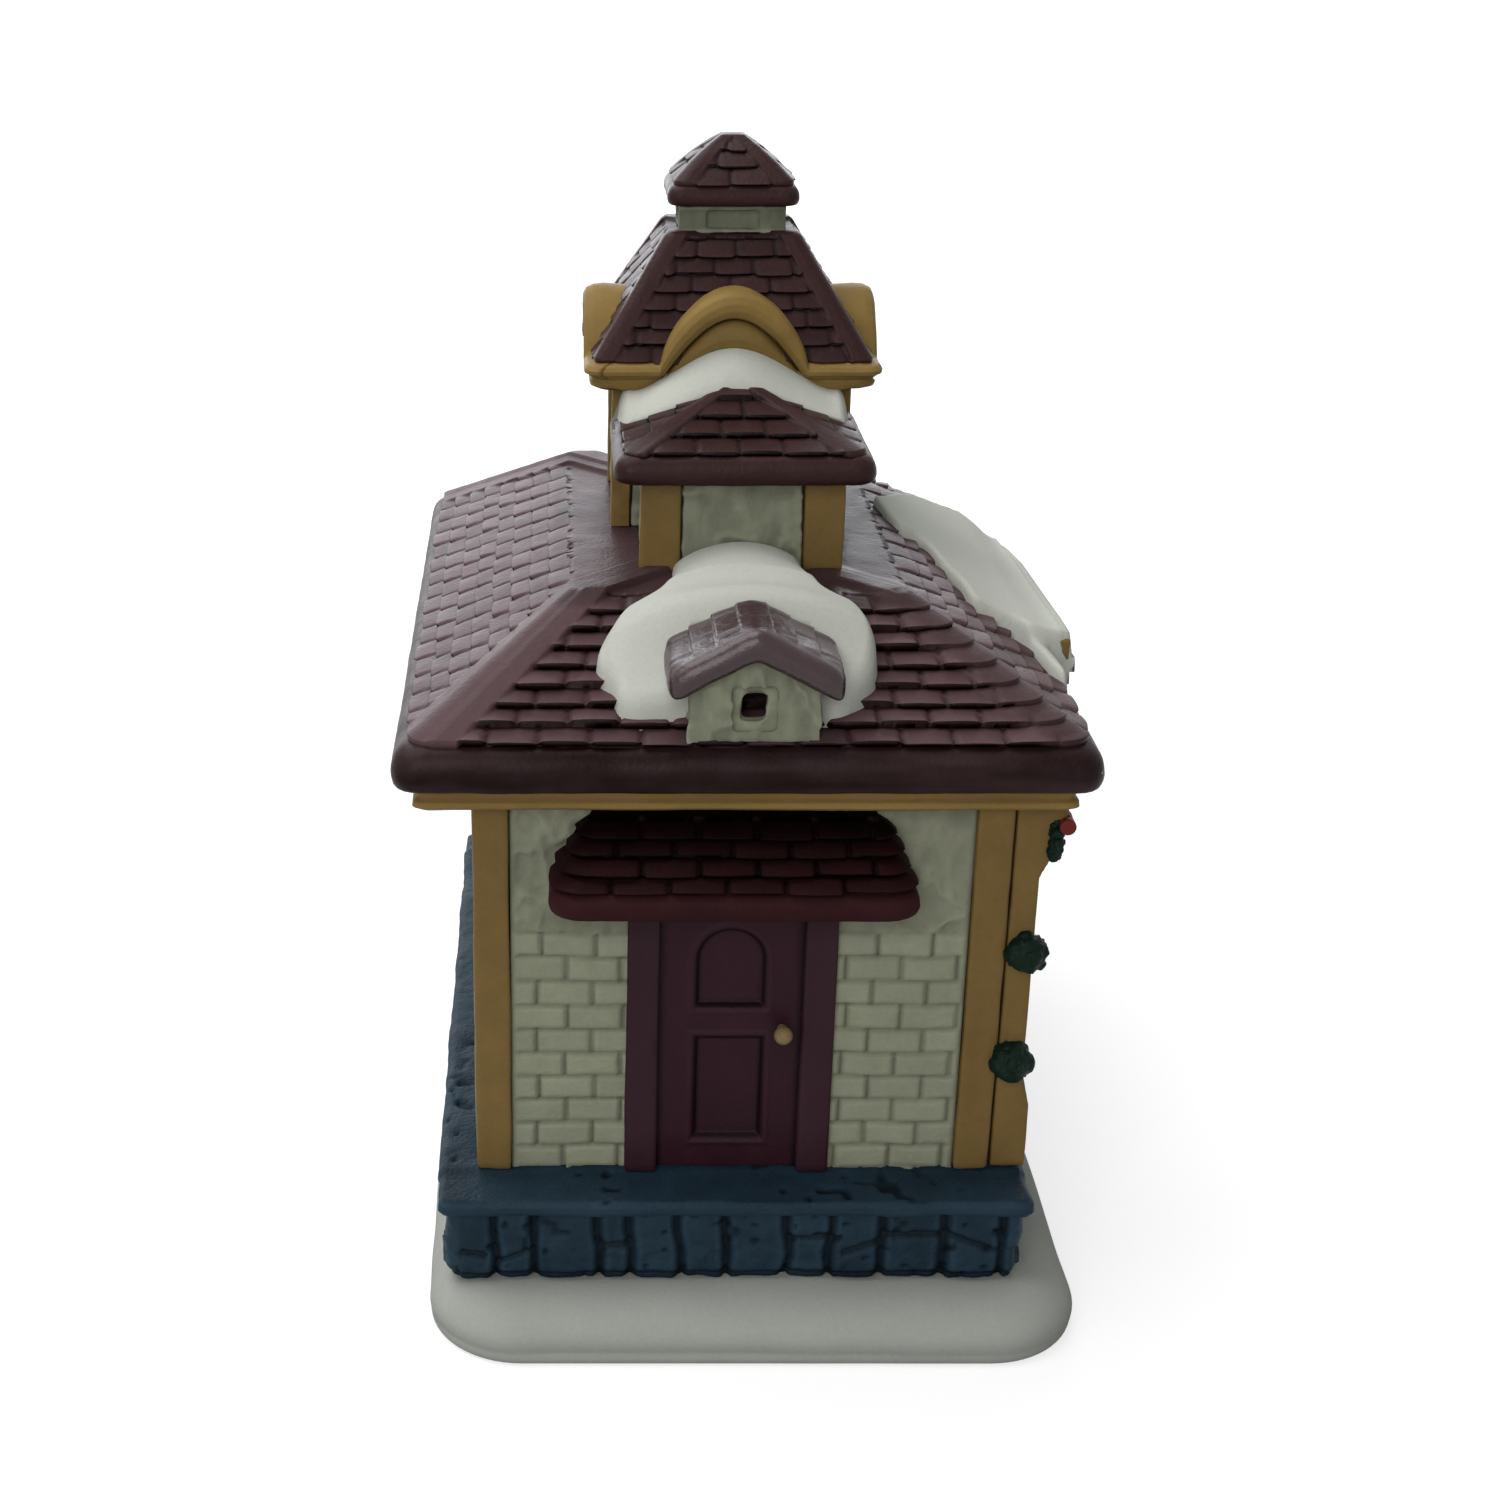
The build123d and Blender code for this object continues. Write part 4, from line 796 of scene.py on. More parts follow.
def surround_relief(points, normals):
    """Brushed, slightly bellied members."""
    wave = rough(points * (1, 1, 0.3), 7, 153)
    return 0.2 * wave - 0.1, 0.6 * wave, 0.5 * step(floor_level + 2, floor_level, points[:, 2])


set_casting(
    "door_frame", voxel=0.34, soften=5, relief=surround_relief, material=frame_plum
)
bronze_paint = bisque_paint(
    "bronze_paint",
    paint=(0.253, 0.18, 0.0867),
    wash_and_shade=(0.0667, 0.04, 0.02),
    roughness=0.35,
    stroke_depth=0.3,
    stroke_size=300.0,
    wash_and_shade_amount=0.8,
    bump=0.1,
)
set_casting("door_knob", voxel=0.16, soften=3, relief=None, material=bronze_paint)

# Canopy over the door: thick slabs in courses over a rounded edge, cast in one and set on the wall.
# It is painted dark red-brown and left almost black in the joints and at the top.
canopy_brown = bisque_paint(
    "canopy_brown",
    paint=(0.0333, 0.0104, 0.0118),
    wash_and_shade=(0.002, 0.0004, 0.0004),
    roughness=0.5,
    stroke_depth=0.5,
    stroke_size=160.0,
    wash_and_shade_amount=0.97,
    bump=0.14,
    sheen=0.03,
)


def coursed(first, last, count):
    """Rows up a shingled slope, with each row's course and its place in the course."""
    first, last = np.array(first, float), np.array(last, float)
    rows, course, place = [], [], []
    for number in range(count):
        for share in (0.0, 0.04, 0.09, 0.22, 0.42, 0.68, 0.84, 0.95):
            rows.append(first + (last - first) * (number + share) / count)
            course.append(number)
            place.append(share)
    return rows + [last], np.array(course + [count]), np.array(place + [0.0])


def shingles(run, side, course, place, width, butt, seed):
    """Slabs laid in courses: thick at the foot, each set a little differently, with a sunk joint between.
    Gives push, slide down the slope, tone with a painted highlight on each lip, and wash with painted shade
    on each butt's face and painted shadow below each butt."""
    course, place = course[:, None], place[:, None]
    shift = np.where(course % 2 == 0, 0.0, 0.5) + (chance(course, side, seed) - 0.5) * 0.4
    cell = run / width + shift
    number = np.floor(cell)
    across = (cell - number) * width
    head = np.minimum(across, width - across)
    own = chance(number + 90 * side, course, seed + 1)
    loose = chance(number + 90 * side, course, seed + 2) - 0.5
    joint = np.exp(-((head / 0.34) ** 2)) * (0.4 + 0.6 * (1 - place))
    tilt = (across / width - 0.5) * (own - 0.5)
    belly = 0.25 * np.sin(math.pi * across / width)
    lift = np.where(place < 0.02, 0.02, 1 - place)
    push = butt * lift * (0.7 + 0.5 * own + 0.6 * tilt + belly) - 0.55 * butt * joint
    foot = np.where(place < 0.15, 1.0, np.where(place < 0.3, 0.5, 0.0))
    slide = -(0.3 + 0.6 * loose + 0.35 * tilt + 0.5 * belly) * foot * (1 - 0.8 * joint)
    # Each slab's lip is painted lighter, partly dry-brushing and partly a painted highlight along its edge.
    lip_highlight = np.exp(-(((place - 0.13) / 0.09) ** 2))
    tone = 0.8 * (own - 0.5) + 0.85 * lip_highlight * (1 - joint)
    # The wash is dark in the joints, and it is painted shade on each butt's face and painted shadow on the
    # top of each course, under the next butt.
    wash_and_shade = np.clip(0.8 * joint + step(0.75, 0.95, place) + np.where(place < 0.06, 1.0, 0), 0, 1)
    return push, slide, tone, wash_and_shade


def roof_ring(centre, lead, slope, finish, spacing, corners, seed, width, butt, rib=None, edge_corner=None):
    """Belt of a roof: rounded edge, shingled slope and plain top. Corners are its first and last corner
    radius; an edge corner, if given, is kept all up the rounded edge. The rib takes points and the
    distance from the corner, and gives the share of smooth hip rib."""
    rows, course, place = slope
    everything = [*lead, *rows, *finish]
    first, last = len(lead), len(lead) + len(rows)
    radii = np.linspace(*corners, len(everything))
    if edge_corner is not None:
        radii = np.append(np.full(first, edge_corner), np.linspace(*corners, len(everything) - first))
    full = [(*row, corner) for row, corner in zip(everything, radii)]
    points, run, end, side = ring(centre, full, spacing, corner_steps=5)
    butt = np.broadcast_to(butt, 4)[side][None, :]
    push = np.zeros(points.shape[:2])
    slide, tone, wash_and_shade = push.copy(), push.copy(), push.copy()
    part = slice(first, last)
    laid = shingles(run[part], side[None, :], course, place, width, butt, seed)
    push[part], slide[part], tone[part], wash_and_shade[part] = laid
    if rib is not None:
        share = rib(points, end)
        share[:first] = 0
        push = push * (1 - share) + butt * 0.85 * share
        slide = slide * (1 - share)
        wash_and_shade = wash_and_shade * (1 - share) + 0.5 * share * step(0.3, 0.9, 1 - abs(2 * share - 1))
        # Hip ribs are painted lighter: a painted sheen along each hip.
        tone = tone * (1 - share) + 0.3 * share
    plain = np.zeros(points.shape[:2])
    plain[:first] = 1
    push = push + plain * 0.16 * rough(points * (0.4, 0.4, 1), 5, seed + 5)
    push = push + 0.08 * rough(points, 3.5, seed + 6)
    tone = tone + plain * 0.5 * rough(points * (0.2, 0.2, 1.6), 3, seed + 7)
    tone = tone + 0.2 * rough(points, 6, seed + 8)
    up = np.gradient(points, axis=0)
    up = up / np.maximum(np.linalg.norm(up, axis=2, keepdims=True), 1e-9)
    points = points + outward(points) * push[..., None] + up * slide[..., None]
    return points, {"tone": tone, "wash_and_shade": wash_and_shade}, end


def trimmed(mesh, back):
    """Cuts off what lies behind a place along the house, in mm, and closes the cut."""
    bm = bmesh.new()
    bm.from_mesh(mesh)
    bmesh.ops.bisect_plane(
        bm,
        geom=[*bm.verts, *bm.edges, *bm.faces],
        plane_co=(0, back * MM, 0),
        plane_no=(0, 1, 0),
        clear_outer=True,
    )
    closed(bm)
    bm.to_mesh(mesh)
    bm.free()
    return mesh


canopy_low, canopy_high = node_box("door_canopy")
canopy_middle = (canopy_low[0] + canopy_high[0]) / 2
canopy_half = (canopy_high[0] - canopy_low[0]) / 2
canopy_reach = -canopy_low[1] - panel_reach
canopy_roll = canopy_low[2] + 4.0
canopy_top = canopy_high[2]
canopy_ridge = (20.5, 2.2)
canopy_lead = [(canopy_half - 6, canopy_reach - 6, canopy_low[2] + 0.3)]
canopy_lead += rolled_edge((canopy_half, canopy_reach), canopy_low[2], canopy_roll, count=10)
canopy_slope = coursed(
    (canopy_half - 1.6, canopy_reach - 1.4, canopy_roll), (*canopy_ridge, canopy_top - 0.6), count=4
)
canopy_finish = [(20.2, 1.4, canopy_top), (19.0, 0.2, canopy_top)]
canopy_points, canopy_marks, _ = roof_ring(
    (canopy_middle, -panel_reach),
    canopy_lead,
    canopy_slope,
    canopy_finish,
    spacing=0.4,
    corners=(4.5, 0.9),
    seed=161,
    width=8.2,
    butt=1.3,
)
canopy_dark = 0.62 + 0.33 * step(canopy_roll + 2, canopy_top - 1, canopy_points[..., 2])
canopy_dark = canopy_dark * step(canopy_roll - 0.8, canopy_roll + 1.2, canopy_points[..., 2])
canopy_marks["wash_and_shade"] = np.clip(canopy_marks["wash_and_shade"] + canopy_dark, 0, 1)
canopy = trimmed(lay_grid(canopy_points, canopy_marks), -panel_reach)
set_piece("door_canopy", canopy, canopy_brown)

# Arched entrance and windows of the two long sides: ochre mouldings round plum leaves and thin bars.
# They are cast with the walls. A strip of frosted film is glued on behind the panes to spread the light.
window_nodes = sorted(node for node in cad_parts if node.startswith("window_frame_"))
for node in ("entrance_surround", *window_nodes):
    set_casting(node, voxel=0.3, soften=3, relief=post_relief, material=ochre)
for node in ("entrance_door_front", "entrance_door_rear"):
    set_casting(node, voxel=0.3, soften=3, relief=surround_relief, material=door_plum)
frosted = bisque_paint(
    "frosted_film",
    paint=(0.413, 0.387, 0.313),
    wash_and_shade=(0.267, 0.247, 0.2),
    roughness=0.4,
    stroke_depth=0.06,
    stroke_size=60.0,
    wash_and_shade_amount=0.3,
    bump=0.04,
)
for node in ("window_film_street", "window_film_back"):
    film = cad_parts[node]
    film.data.materials.clear()
    film.data.materials.append(frosted)

# Eave fascia: an ochre band under the roof's rounded edge, with a small bead along its foot.
# It is modelled on the wall block and brushed in ochre before the roof is set on it.
fascia_low, fascia_high = node_box("eave_fascia")
fascia_corner = 1.6
bead_level = fascia_low[2] + 1.9
fascia_rows = between(
    [
        (side_reach - 2, panel_reach - 2, fascia_low[2] + 0.1),
        (fascia_high[0] - 1.2, fascia_high[1] - 1.2, fascia_low[2]),
        (fascia_high[0] - 0.2, fascia_high[1] - 0.2, fascia_low[2] + 0.7),
        (fascia_high[0] - 0.3, fascia_high[1] - 0.3, fascia_low[2] + 1.5),
        (fascia_high[0] - 0.8, fascia_high[1] - 0.8, bead_level),
        (fascia_high[0] - 0.2, fascia_high[1] - 0.2, fascia_high[2] + 0.2),
    ],
    [14, 4, 3, 2, 6],
)
fascia_points, *_ = ring((0, 0), [(*row, fascia_corner) for row in fascia_rows], spacing=0.6)
fascia_wave = rough(fascia_points * (0.4, 0.4, 1), 5, 171)
fascia_points = fascia_points + outward(fascia_points) * (0.2 * fascia_wave - 0.1)[..., None]
fascia_marks = {
    "tone": 0.5 * fascia_wave,
    "wash_and_shade": 0.5 * np.exp(-(((fascia_points[..., 2] - bead_level) / 0.35) ** 2)),
}
fascia_gold = bisque_paint(
    "fascia_gold",
    paint=(0.247, 0.157, 0.05),
    wash_and_shade=(0.0867, 0.0533, 0.0167),
    roughness=0.5,
    stroke_depth=0.34,
    stroke_size=190.0,
    wash_and_shade_amount=0.8,
    bump=0.12,
)
set_piece("eave_fascia", lay_grid(fascia_points, fascia_marks), fascia_gold)

# Main roof: a hip roof of slate slabs in eight courses over a thick rounded eave, with a flat deck on top.
# Smooth ribbons cover the two hips on the plain side; the paint is worn to white on the street corner.
roof_brown = bisque_paint(
    "roof_brown",
    paint=(0.072, 0.04, 0.0433),
    wash_and_shade=(0.008, 0.00167, 0.00167),
    roughness=0.4,
    stroke_depth=0.5,
    stroke_size=160.0,
    wash_and_shade_amount=0.97,
    bump=0.14,
    sheen=0.075,
)
roof_low, roof_high = node_box("main_roof")
eave_half = np.array([(roof_high[0] - roof_low[0]) / 2, (roof_high[1] - roof_low[1]) / 2])
eave_level = fascia_high[2]
course_level = eave_level + 6.3
deck_level = node_box("tower_walls")[0][2]
deck_half = (24.5, 38.0)
deck_inner = (11.0, 24.0)
roof_lead = [(eave_half[0] - 4.2, eave_half[1] - 4.2, eave_level + 0.1)]
roof_lead += rolled_edge(eave_half - 0.15, eave_level, course_level, count=14, tuck=0.1)
roof_slope = coursed(
    (eave_half[0] - 2.6, eave_half[1] - 2.6, course_level), (*deck_half, deck_level), count=8
)
roof_finish = between(
    [
        (deck_half[0] - 0.6, deck_half[1] - 0.6, deck_level + 0.05),
        (deck_half[0] - 2.6, deck_half[1] - 2.6, deck_level),
        (*deck_inner, deck_level),
    ],
    [3, 12],
)


def ribbon(points, end):
    """Smooth ribbon on the plain side's hips; worn, flooded courses on the street side's, where the lighter
    grey is partly wear and partly painted sheen.
    """
    return np.where(points[..., 0] < 0, step(4.1, 3.3, end), 0.62 * step(4.8, 0.6, end))


roof_points, roof_marks, roof_end = roof_ring(
    (0, 0),
    roof_lead,
    roof_slope,
    roof_finish,
    spacing=0.47,
    corners=(3.4, 1.2),
    seed=181,
    width=7.2,
    butt=(1.0, 1.2, 0.75, 1.25),
    rib=ribbon,
    edge_corner=3.6,
)
slump_depth = 3.2
slump_width = 13.0


def settled(points):
    """How far the rear street corner of the roof has slumped, in mm."""
    off_hip = abs((points[..., 0] - deck_half[0]) - (points[..., 1] - deck_half[1])) / math.sqrt(2)
    corner_share = step(14, 26, points[..., 0]) * step(26, 40, points[..., 1])
    slump = slump_depth * np.exp(-((off_hip / slump_width) ** 2)) * corner_share
    return slump * step(eave_level, course_level, points[..., 2])


roof_points[..., 2] -= settled(roof_points)
street_corner = (roof_points[..., 0] > 0) & (roof_points[..., 1] < 0)
worn_corner = step(7, 1, roof_end) * np.where(street_corner, 1.0, 0.0) * step(104, 90, roof_points[..., 2])
roof_marks["chip"] = 0.75 * worn_corner * step(0.0, 0.5, rough(roof_points, 4.0, 190))
roll_streaks = rough(roof_points * (0.12, 0.12, 1.6), 2.2, 193)
roof_marks["wash_and_shade"][: len(roof_lead)] = np.clip(0.84 + 0.4 * roll_streaks[: len(roof_lead)], 0, 1)
deck_share = step(deck_level - 1.1, deck_level - 0.3, roof_points[..., 2])
deck_wash = 0.2 + 0.45 * step(-0.2, 0.6, lumps(roof_points, 10, 191))
roof_marks["wash_and_shade"] = np.clip(roof_marks["wash_and_shade"] * (1 - deck_share) + deck_share * deck_wash, 0, 1)
set_piece("main_roof", lay_grid(roof_points, roof_marks), roof_brown)

# Dormer: a small gabled box of plaster on the front slope with a dark open window.
# Its two roof slopes are thick slabs, rounded at the verge; it is luted to the roof before firing.
def plaster_skin(seed, share):
    """Relief of a small plastered casting, with that share of the walls' roughness."""

    def relief(points, normals):
        push, tone, wash_and_shade = plaster_relief(points, seed)
        return share * push, tone, wash_and_shade

    return relief


set_casting(
    "dormer_walls", voxel=0.26, soften=3, relief=plaster_skin(201, 0.7), material=wall_cream
)
dormer_low, dormer_high = node_box("dormer_roof")
dormer_middle = (dormer_low[0] + dormer_high[0]) / 2
dormer_slab = 4.1
dormer_fill = 0.6


def position_shingles(up, run, side, width, height, butt, seed):
    """Slabs on a softened casting, from the height up the slope and the run along it."""
    course = np.floor(up / height)
    place = up / height - course
    cell = run / width + np.where(course % 2 == 0, 0, 0.5)
    number = np.floor(cell)
    across = (cell - number) * width
    head = np.minimum(across, width - across)
    own = chance(number + 50 * side, course, seed)
    joint = np.exp(-((head / 0.4) ** 2))
    push = butt * (1 - place) * (0.7 + 0.6 * own) - 0.7 * butt * joint
    # Each slab's lip is painted lighter, partly a painted highlight along its edge.
    tone = 0.6 * (own - 0.5) + 0.7 * np.exp(-(((place - 0.1) / 0.1) ** 2))
    # The wash is dark in the joints and is painted shadow on the top of each course, under the next butt.
    wash_and_shade = np.clip(0.8 * joint + 0.8 * step(0.86, 0.97, place), 0, 1)
    return push, tone, wash_and_shade


def dormer_roof_relief(points, normals):
    """Slabs on the two slopes, fading out towards the smooth ridge and verge."""
    out = abs(points[:, 0] - dormer_middle)
    slope = (dormer_high[0] - dormer_middle - out) * 1.25
    push, tone, wash_and_shade = position_shingles(
        slope,
        points[:, 1] + 3,
        points[:, 0] > dormer_middle,
        width=7.4,
        height=dormer_slab,
        butt=0.36,
        seed=205,
    )
    upper = step(0.35, 0.7, normals[:, 2]) * step(dormer_low[1] + 1.6, dormer_low[1] + 3.2, points[:, 1])
    upper = upper * (0.3 + 0.7 * step(0.8, 2.4, out))
    return push * upper + dormer_fill + 0.2 * rough(points, 4, 206), tone * upper, wash_and_shade * upper


dormer_brown = bisque_paint(
    "dormer_brown",
    paint=(0.04, 0.018, 0.022),
    wash_and_shade=(0.00533, 0.002, 0.00267),
    roughness=0.26,
    stroke_depth=0.5,
    stroke_size=160.0,
    wash_and_shade_amount=0.9,
    bump=0.14,
    sheen=0.4,
)
set_casting(
    "dormer_roof", voxel=0.36, soften=110, relief=dormer_roof_relief, material=dormer_brown
)

# Bay in front of the tower: plaster between two stout ochre posts, under a low hipped roof of thick slabs.
# It stands on the deck and is cast with the tower.
def bay_relief(points, normals):
    """Plaster, a little darker along its foot."""
    push, tone, wash_and_shade = plaster_relief(points, 211)
    return 0.55 * push, tone, wash_and_shade + 0.3 * step(deck_level + 2, deck_level, points[:, 2])


set_casting("bay_walls", voxel=0.34, soften=4, relief=bay_relief, material=wall_cream)


def stout_relief(points, normals):
    """Slight waves, darker at the post's foot."""
    wave = rough(points * (1, 1, 0.4), 5, 215)
    return 0.25 * wave - 0.1, 0.4 * wave, 0.6 * step(deck_level + 1.4, deck_level, points[:, 2])


for node in ("bay_post_left", "bay_post_right"):
    set_casting(node, voxel=0.28, soften=6, relief=stout_relief, material=ochre)
bay_low, bay_high = node_box("bay_roof")
bay_middle = (bay_low[0] + bay_high[0]) / 2
bay_half = (bay_high[0] - bay_low[0]) / 2
bay_anchor = 10.0
bay_ridge_back = 11.0
bay_reach = bay_anchor - bay_low[1]
bay_roll = bay_low[2] + 4.2
tower_front = node_box("tower_walls")[0][1]
bay_lead = [(bay_half - 4, bay_reach - 4, bay_low[2] + 0.2)]
bay_lead += rolled_edge((bay_half, bay_reach), bay_low[2], bay_roll, count=10)
bay_ridge = bay_high[2] + 2.5
bay_slope = coursed(
    (bay_half - 1.7, bay_reach - 1.7, bay_roll), (0.9, bay_anchor + bay_ridge_back, bay_ridge), count=4
)
tower_brown = bisque_paint(
    "tower_brown",
    paint=(0.0305, 0.0128, 0.0128),
    wash_and_shade=(0.004, 0.00133, 0.00133),
    roughness=0.38,
    stroke_depth=0.6,
    stroke_size=160.0,
    wash_and_shade_amount=0.97,
    bump=0.16,
    sheen=0.08,
)


def hip_rib(width):
    """Share of a smooth rib along each hip, this wide from the corner in mm."""

    def share(points, end):
        return step(width, width - 0.6, end)

    return share


bay_points, bay_marks, _ = roof_ring(
    (bay_middle, bay_anchor),
    bay_lead,
    bay_slope,
    [],
    spacing=0.4,
    corners=(3.0, 0.5),
    seed=221,
    width=6.4,
    butt=(0.35, 0.5, 0.35, 0.8),
    rib=hip_rib(1.3),
)
set_piece("bay_roof", trimmed(lay_grid(bay_points, bay_marks), tower_front + 0.5), tower_brown)

# Tower: a short square shaft of plaster with ochre corner posts under a heavy ochre cornice.
# An eyebrow hood rises over the cornice on each side; all of it is one casting set on the deck.
set_casting(
    "tower_walls", voxel=0.4, soften=4, relief=plaster_skin(231, 0.6), material=wall_cream
)
tower_gold = bisque_paint(
    "tower_gold",
    paint=(0.2, 0.13, 0.04),
    wash_and_shade=(0.04, 0.024, 0.00933),
    roughness=0.48,
    stroke_depth=0.4,
    stroke_size=190.0,
    wash_and_shade_amount=0.85,
    bump=0.12,
)


def cornice_relief(points, normals):
    """Slight waves of a hand-brushed moulding."""
    wave = rough(points, 5, 235)
    return 0.2 * wave - 0.08, 0.4 * wave, 0.4 * step(0.2, -0.6, wave)


set_casting("tower_posts", voxel=0.3, soften=5, relief=cornice_relief, material=tower_gold)
cornice_low, cornice_high = node_box("tower_cornice")
tower_middle = (cornice_low + cornice_high) / 2
cornice_half = (cornice_high - cornice_low) / 2
cornice_top = cornice_high[2]
# The belt's sides in order are the street side, the rear, the plain side and the front.
hood_names = ["tower_hood_right", "tower_hood_rear", "tower_hood_left", "tower_hood_front"]
hood_rise = np.array([node_box(node)[1][2] - cornice_top for node in hood_names])
brow_half = np.array([9.2, 11.3, 9.2, 11.3])
groove_half = np.array([8.6, 10.6, 8.6, 10.6])
lip_half = np.array([13.6, 16.6, 13.6, 16.6])
brow_over = np.array([-0.4, 0.8, -0.4, 0.8])
groove_under = 1.3
lip_under = 4.1
cornice_corner = 2.8
# Each row has its inset, its level and the curve it follows: 0 straight, 1 lip, 2 groove, 3 brow.
eyebrow_rows = between(
    [
        (3.6, -0.6, 0.0),
        (3.6, 0.2, 1.0),
        (1.2, 0.0, 1.0),
        (0.2, 0.4, 1.0),
        (0.0, 1.0, 1.3),
        (0.5, 1.5, 1.7),
        (1.3, 1.9, 2.0),
        (0.0, 2.0, 2.15),
        (-0.8, 2.4, 2.45),
        (-0.9, 3.0, 2.7),
        (-0.4, 3.7, 2.92),
        (0.7, 4.1, 3.0),
        (2.2, 4.2, 3.0),
        (9.5, 3.8, 3.0),
    ],
    [5, 4, 4, 5, 5, 3, 3, 4, 5, 5, 4, 4, 8],
)
eyebrow_rows = np.array(eyebrow_rows)
eyebrow_points, eyebrow_run, _, eyebrow_side = ring(
    tower_middle,
    [
        (cornice_half[0] - inset, cornice_half[1] - inset, cornice_low[2] + level, cornice_corner)
        for inset, level, _ in eyebrow_rows
    ],
    spacing=0.32,
)


def by_side(values):
    """A value for each side, spread over the belt's columns."""
    return values[eyebrow_side][None, :]


def arch(run, half, power):
    """Rise of an eyebrow along a side, from 1 at its crown to 0 at its ends."""
    return np.cos(math.pi / 2 * np.clip(abs(run) / half, 0, 1)) ** power


def lip_level(run, half, rise):
    """Rise of the eyebrow's lower lip, which dips a little at its ends."""
    return arch(run, half, 2.1) * rise - 0.6 * np.exp(-(((abs(run) / half - 0.9) / 0.17) ** 2))


side_rise = by_side(hood_rise)
lip_rise = lip_level(eyebrow_run, by_side(lip_half), side_rise - lip_under)
groove_rise = arch(eyebrow_run, by_side(groove_half), 1.0) * (side_rise - groove_under)
brow_rise = arch(eyebrow_run, by_side(brow_half), 0.62) * (side_rise + by_side(brow_over))
eyebrow_curve = eyebrow_rows[:, 2:3]
eyebrow_points[..., 2] += (
    lip_rise * np.clip(1 - abs(eyebrow_curve - 1), 0, 1)
    + groove_rise * np.clip(1 - abs(eyebrow_curve - 2), 0, 1)
    + brow_rise * np.clip(eyebrow_curve - 2, 0, 1)
)
eyebrow_wave = rough(eyebrow_points, 5, 237)
groove_row = int(np.argmin(abs(eyebrow_curve - 2)))
eyebrow_level = np.broadcast_to(np.arange(len(eyebrow_rows))[:, None], eyebrow_wave.shape)
in_groove = np.exp(-(((eyebrow_level - groove_row) / 2.6) ** 2))
on_wing = step(0.95, 1.25, abs(eyebrow_run) / by_side(groove_half))
eyebrow_push = 0.16 * eyebrow_wave - 0.05 + 1.0 * in_groove * on_wing
eyebrow_points = eyebrow_points + outward(eyebrow_points) * eyebrow_push[..., None]
# The rows under the lips are darkened as painted shadow under the hoods; the groove is washed dark.
eyebrow_wash_and_shade = 0.95 * in_groove**4 * (1 - on_wing) + 0.8 * step(14, 8, eyebrow_level)
eyebrow_marks = {
    # The rows above the groove are painted lighter: a painted highlight on the brow.
    "tone": 0.4 * eyebrow_wave + 0.3 * step(groove_row, groove_row + 6, eyebrow_level),
    "wash_and_shade": np.clip(eyebrow_wash_and_shade, 0, 1),
}
cornice_rows = slice(0, groove_row + 1)
cornice_marks = {mark: values[cornice_rows] for mark, values in eyebrow_marks.items()}
set_piece("tower_cornice", lay_grid(eyebrow_points[cornice_rows], cornice_marks), tower_gold)
for number, node in enumerate(hood_names):
    on_side = np.flatnonzero(eyebrow_side[:-1] == number)
    hood_part = (slice(groove_row, None), slice(on_side[0], on_side[-1] + 2))
    hood_marks = {mark: values[hood_part] for mark, values in eyebrow_marks.items()}
    set_piece(node, lay_grid(eyebrow_points[hood_part], hood_marks), tower_gold)

# Mansard and cupola: steep courses between smooth hip ribs, a small plaster box and its own pyramid roof.
# They close the top of the tower and are painted in the same dark red-brown.
mansard_low, mansard_high = node_box("tower_roof")
mansard_half = (mansard_high - mansard_low) / 2
mansard_top = (10.2, 8.8)
mansard_slope = coursed(
    (mansard_half[0] - 0.2, mansard_half[1] - 0.2, mansard_low[2]),
    (*mansard_top, mansard_high[2] - 0.4),
    count=7,
)
mansard_finish = [(9.8, 8.4, mansard_high[2]), (7.0, 6.0, mansard_high[2])]
mansard_points, mansard_marks, _ = roof_ring(
    tower_middle,
    [(mansard_half[0] - 3, mansard_half[1] - 3, mansard_low[2] - 0.1)],
    mansard_slope,
    mansard_finish,
    spacing=0.36,
    corners=(1.2, 1.2),
    seed=241,
    width=6.0,
    butt=0.6,
    rib=hip_rib(2.0),
)
set_piece("tower_roof", lay_grid(mansard_points, mansard_marks), tower_brown)
cupola_low, cupola_high = node_box("cupola_box")


def cupola_relief(points, normals):
    """Plaster, darker between the edges at its top and foot."""
    push, tone, wash_and_shade = plaster_relief(points, 245)
    edge = np.minimum(points[:, 2] - cupola_low[2], cupola_high[2] - points[:, 2])
    sunk = step(0.4, 0.9, edge)
    return 0.4 * push, tone - 0.6 * sunk, np.clip(wash_and_shade + 0.45 * sunk, 0, 1)


set_casting("cupola_box", voxel=0.24, soften=3, relief=cupola_relief, material=wall_cream)
cap_low, cap_high = node_box("cupola_roof")
cap_half = (cap_high - cap_low) / 2
cap_roll = cap_low[2] + 3.2
cap_lead = [(cap_half[0] - 3, cap_half[1] - 3, cap_low[2] + 0.1)]
cap_lead += rolled_edge(cap_half, cap_low[2], cap_roll, count=10)
cap_slope = coursed((cap_half[0] - 1.1, cap_half[1] - 1.1, cap_roll), (1.6, 1.5, cap_high[2] - 0.5), count=3)
cap_finish = [(1.0, 0.9, cap_high[2] - 0.1), (0.05, 0.05, cap_high[2])]
cap_points, cap_marks, _ = roof_ring(
    tower_middle,
    cap_lead,
    cap_slope,
    cap_finish,
    spacing=0.3,
    corners=(2.4, 0.03),
    seed=251,
    width=6.2,
    butt=0.5,
    rib=hip_rib(1.9),
)
cap_rise = np.clip((cap_points[..., 2] - cap_roll) / (cap_high[2] - cap_roll), 0, 1)
cap_points[..., 2] += 0.5 * np.sin(math.pi * cap_rise)
cap_points[..., 2] = np.minimum(cap_points[..., 2], cap_high[2])
set_piece("cupola_roof", lay_grid(cap_points, cap_marks), tower_brown)

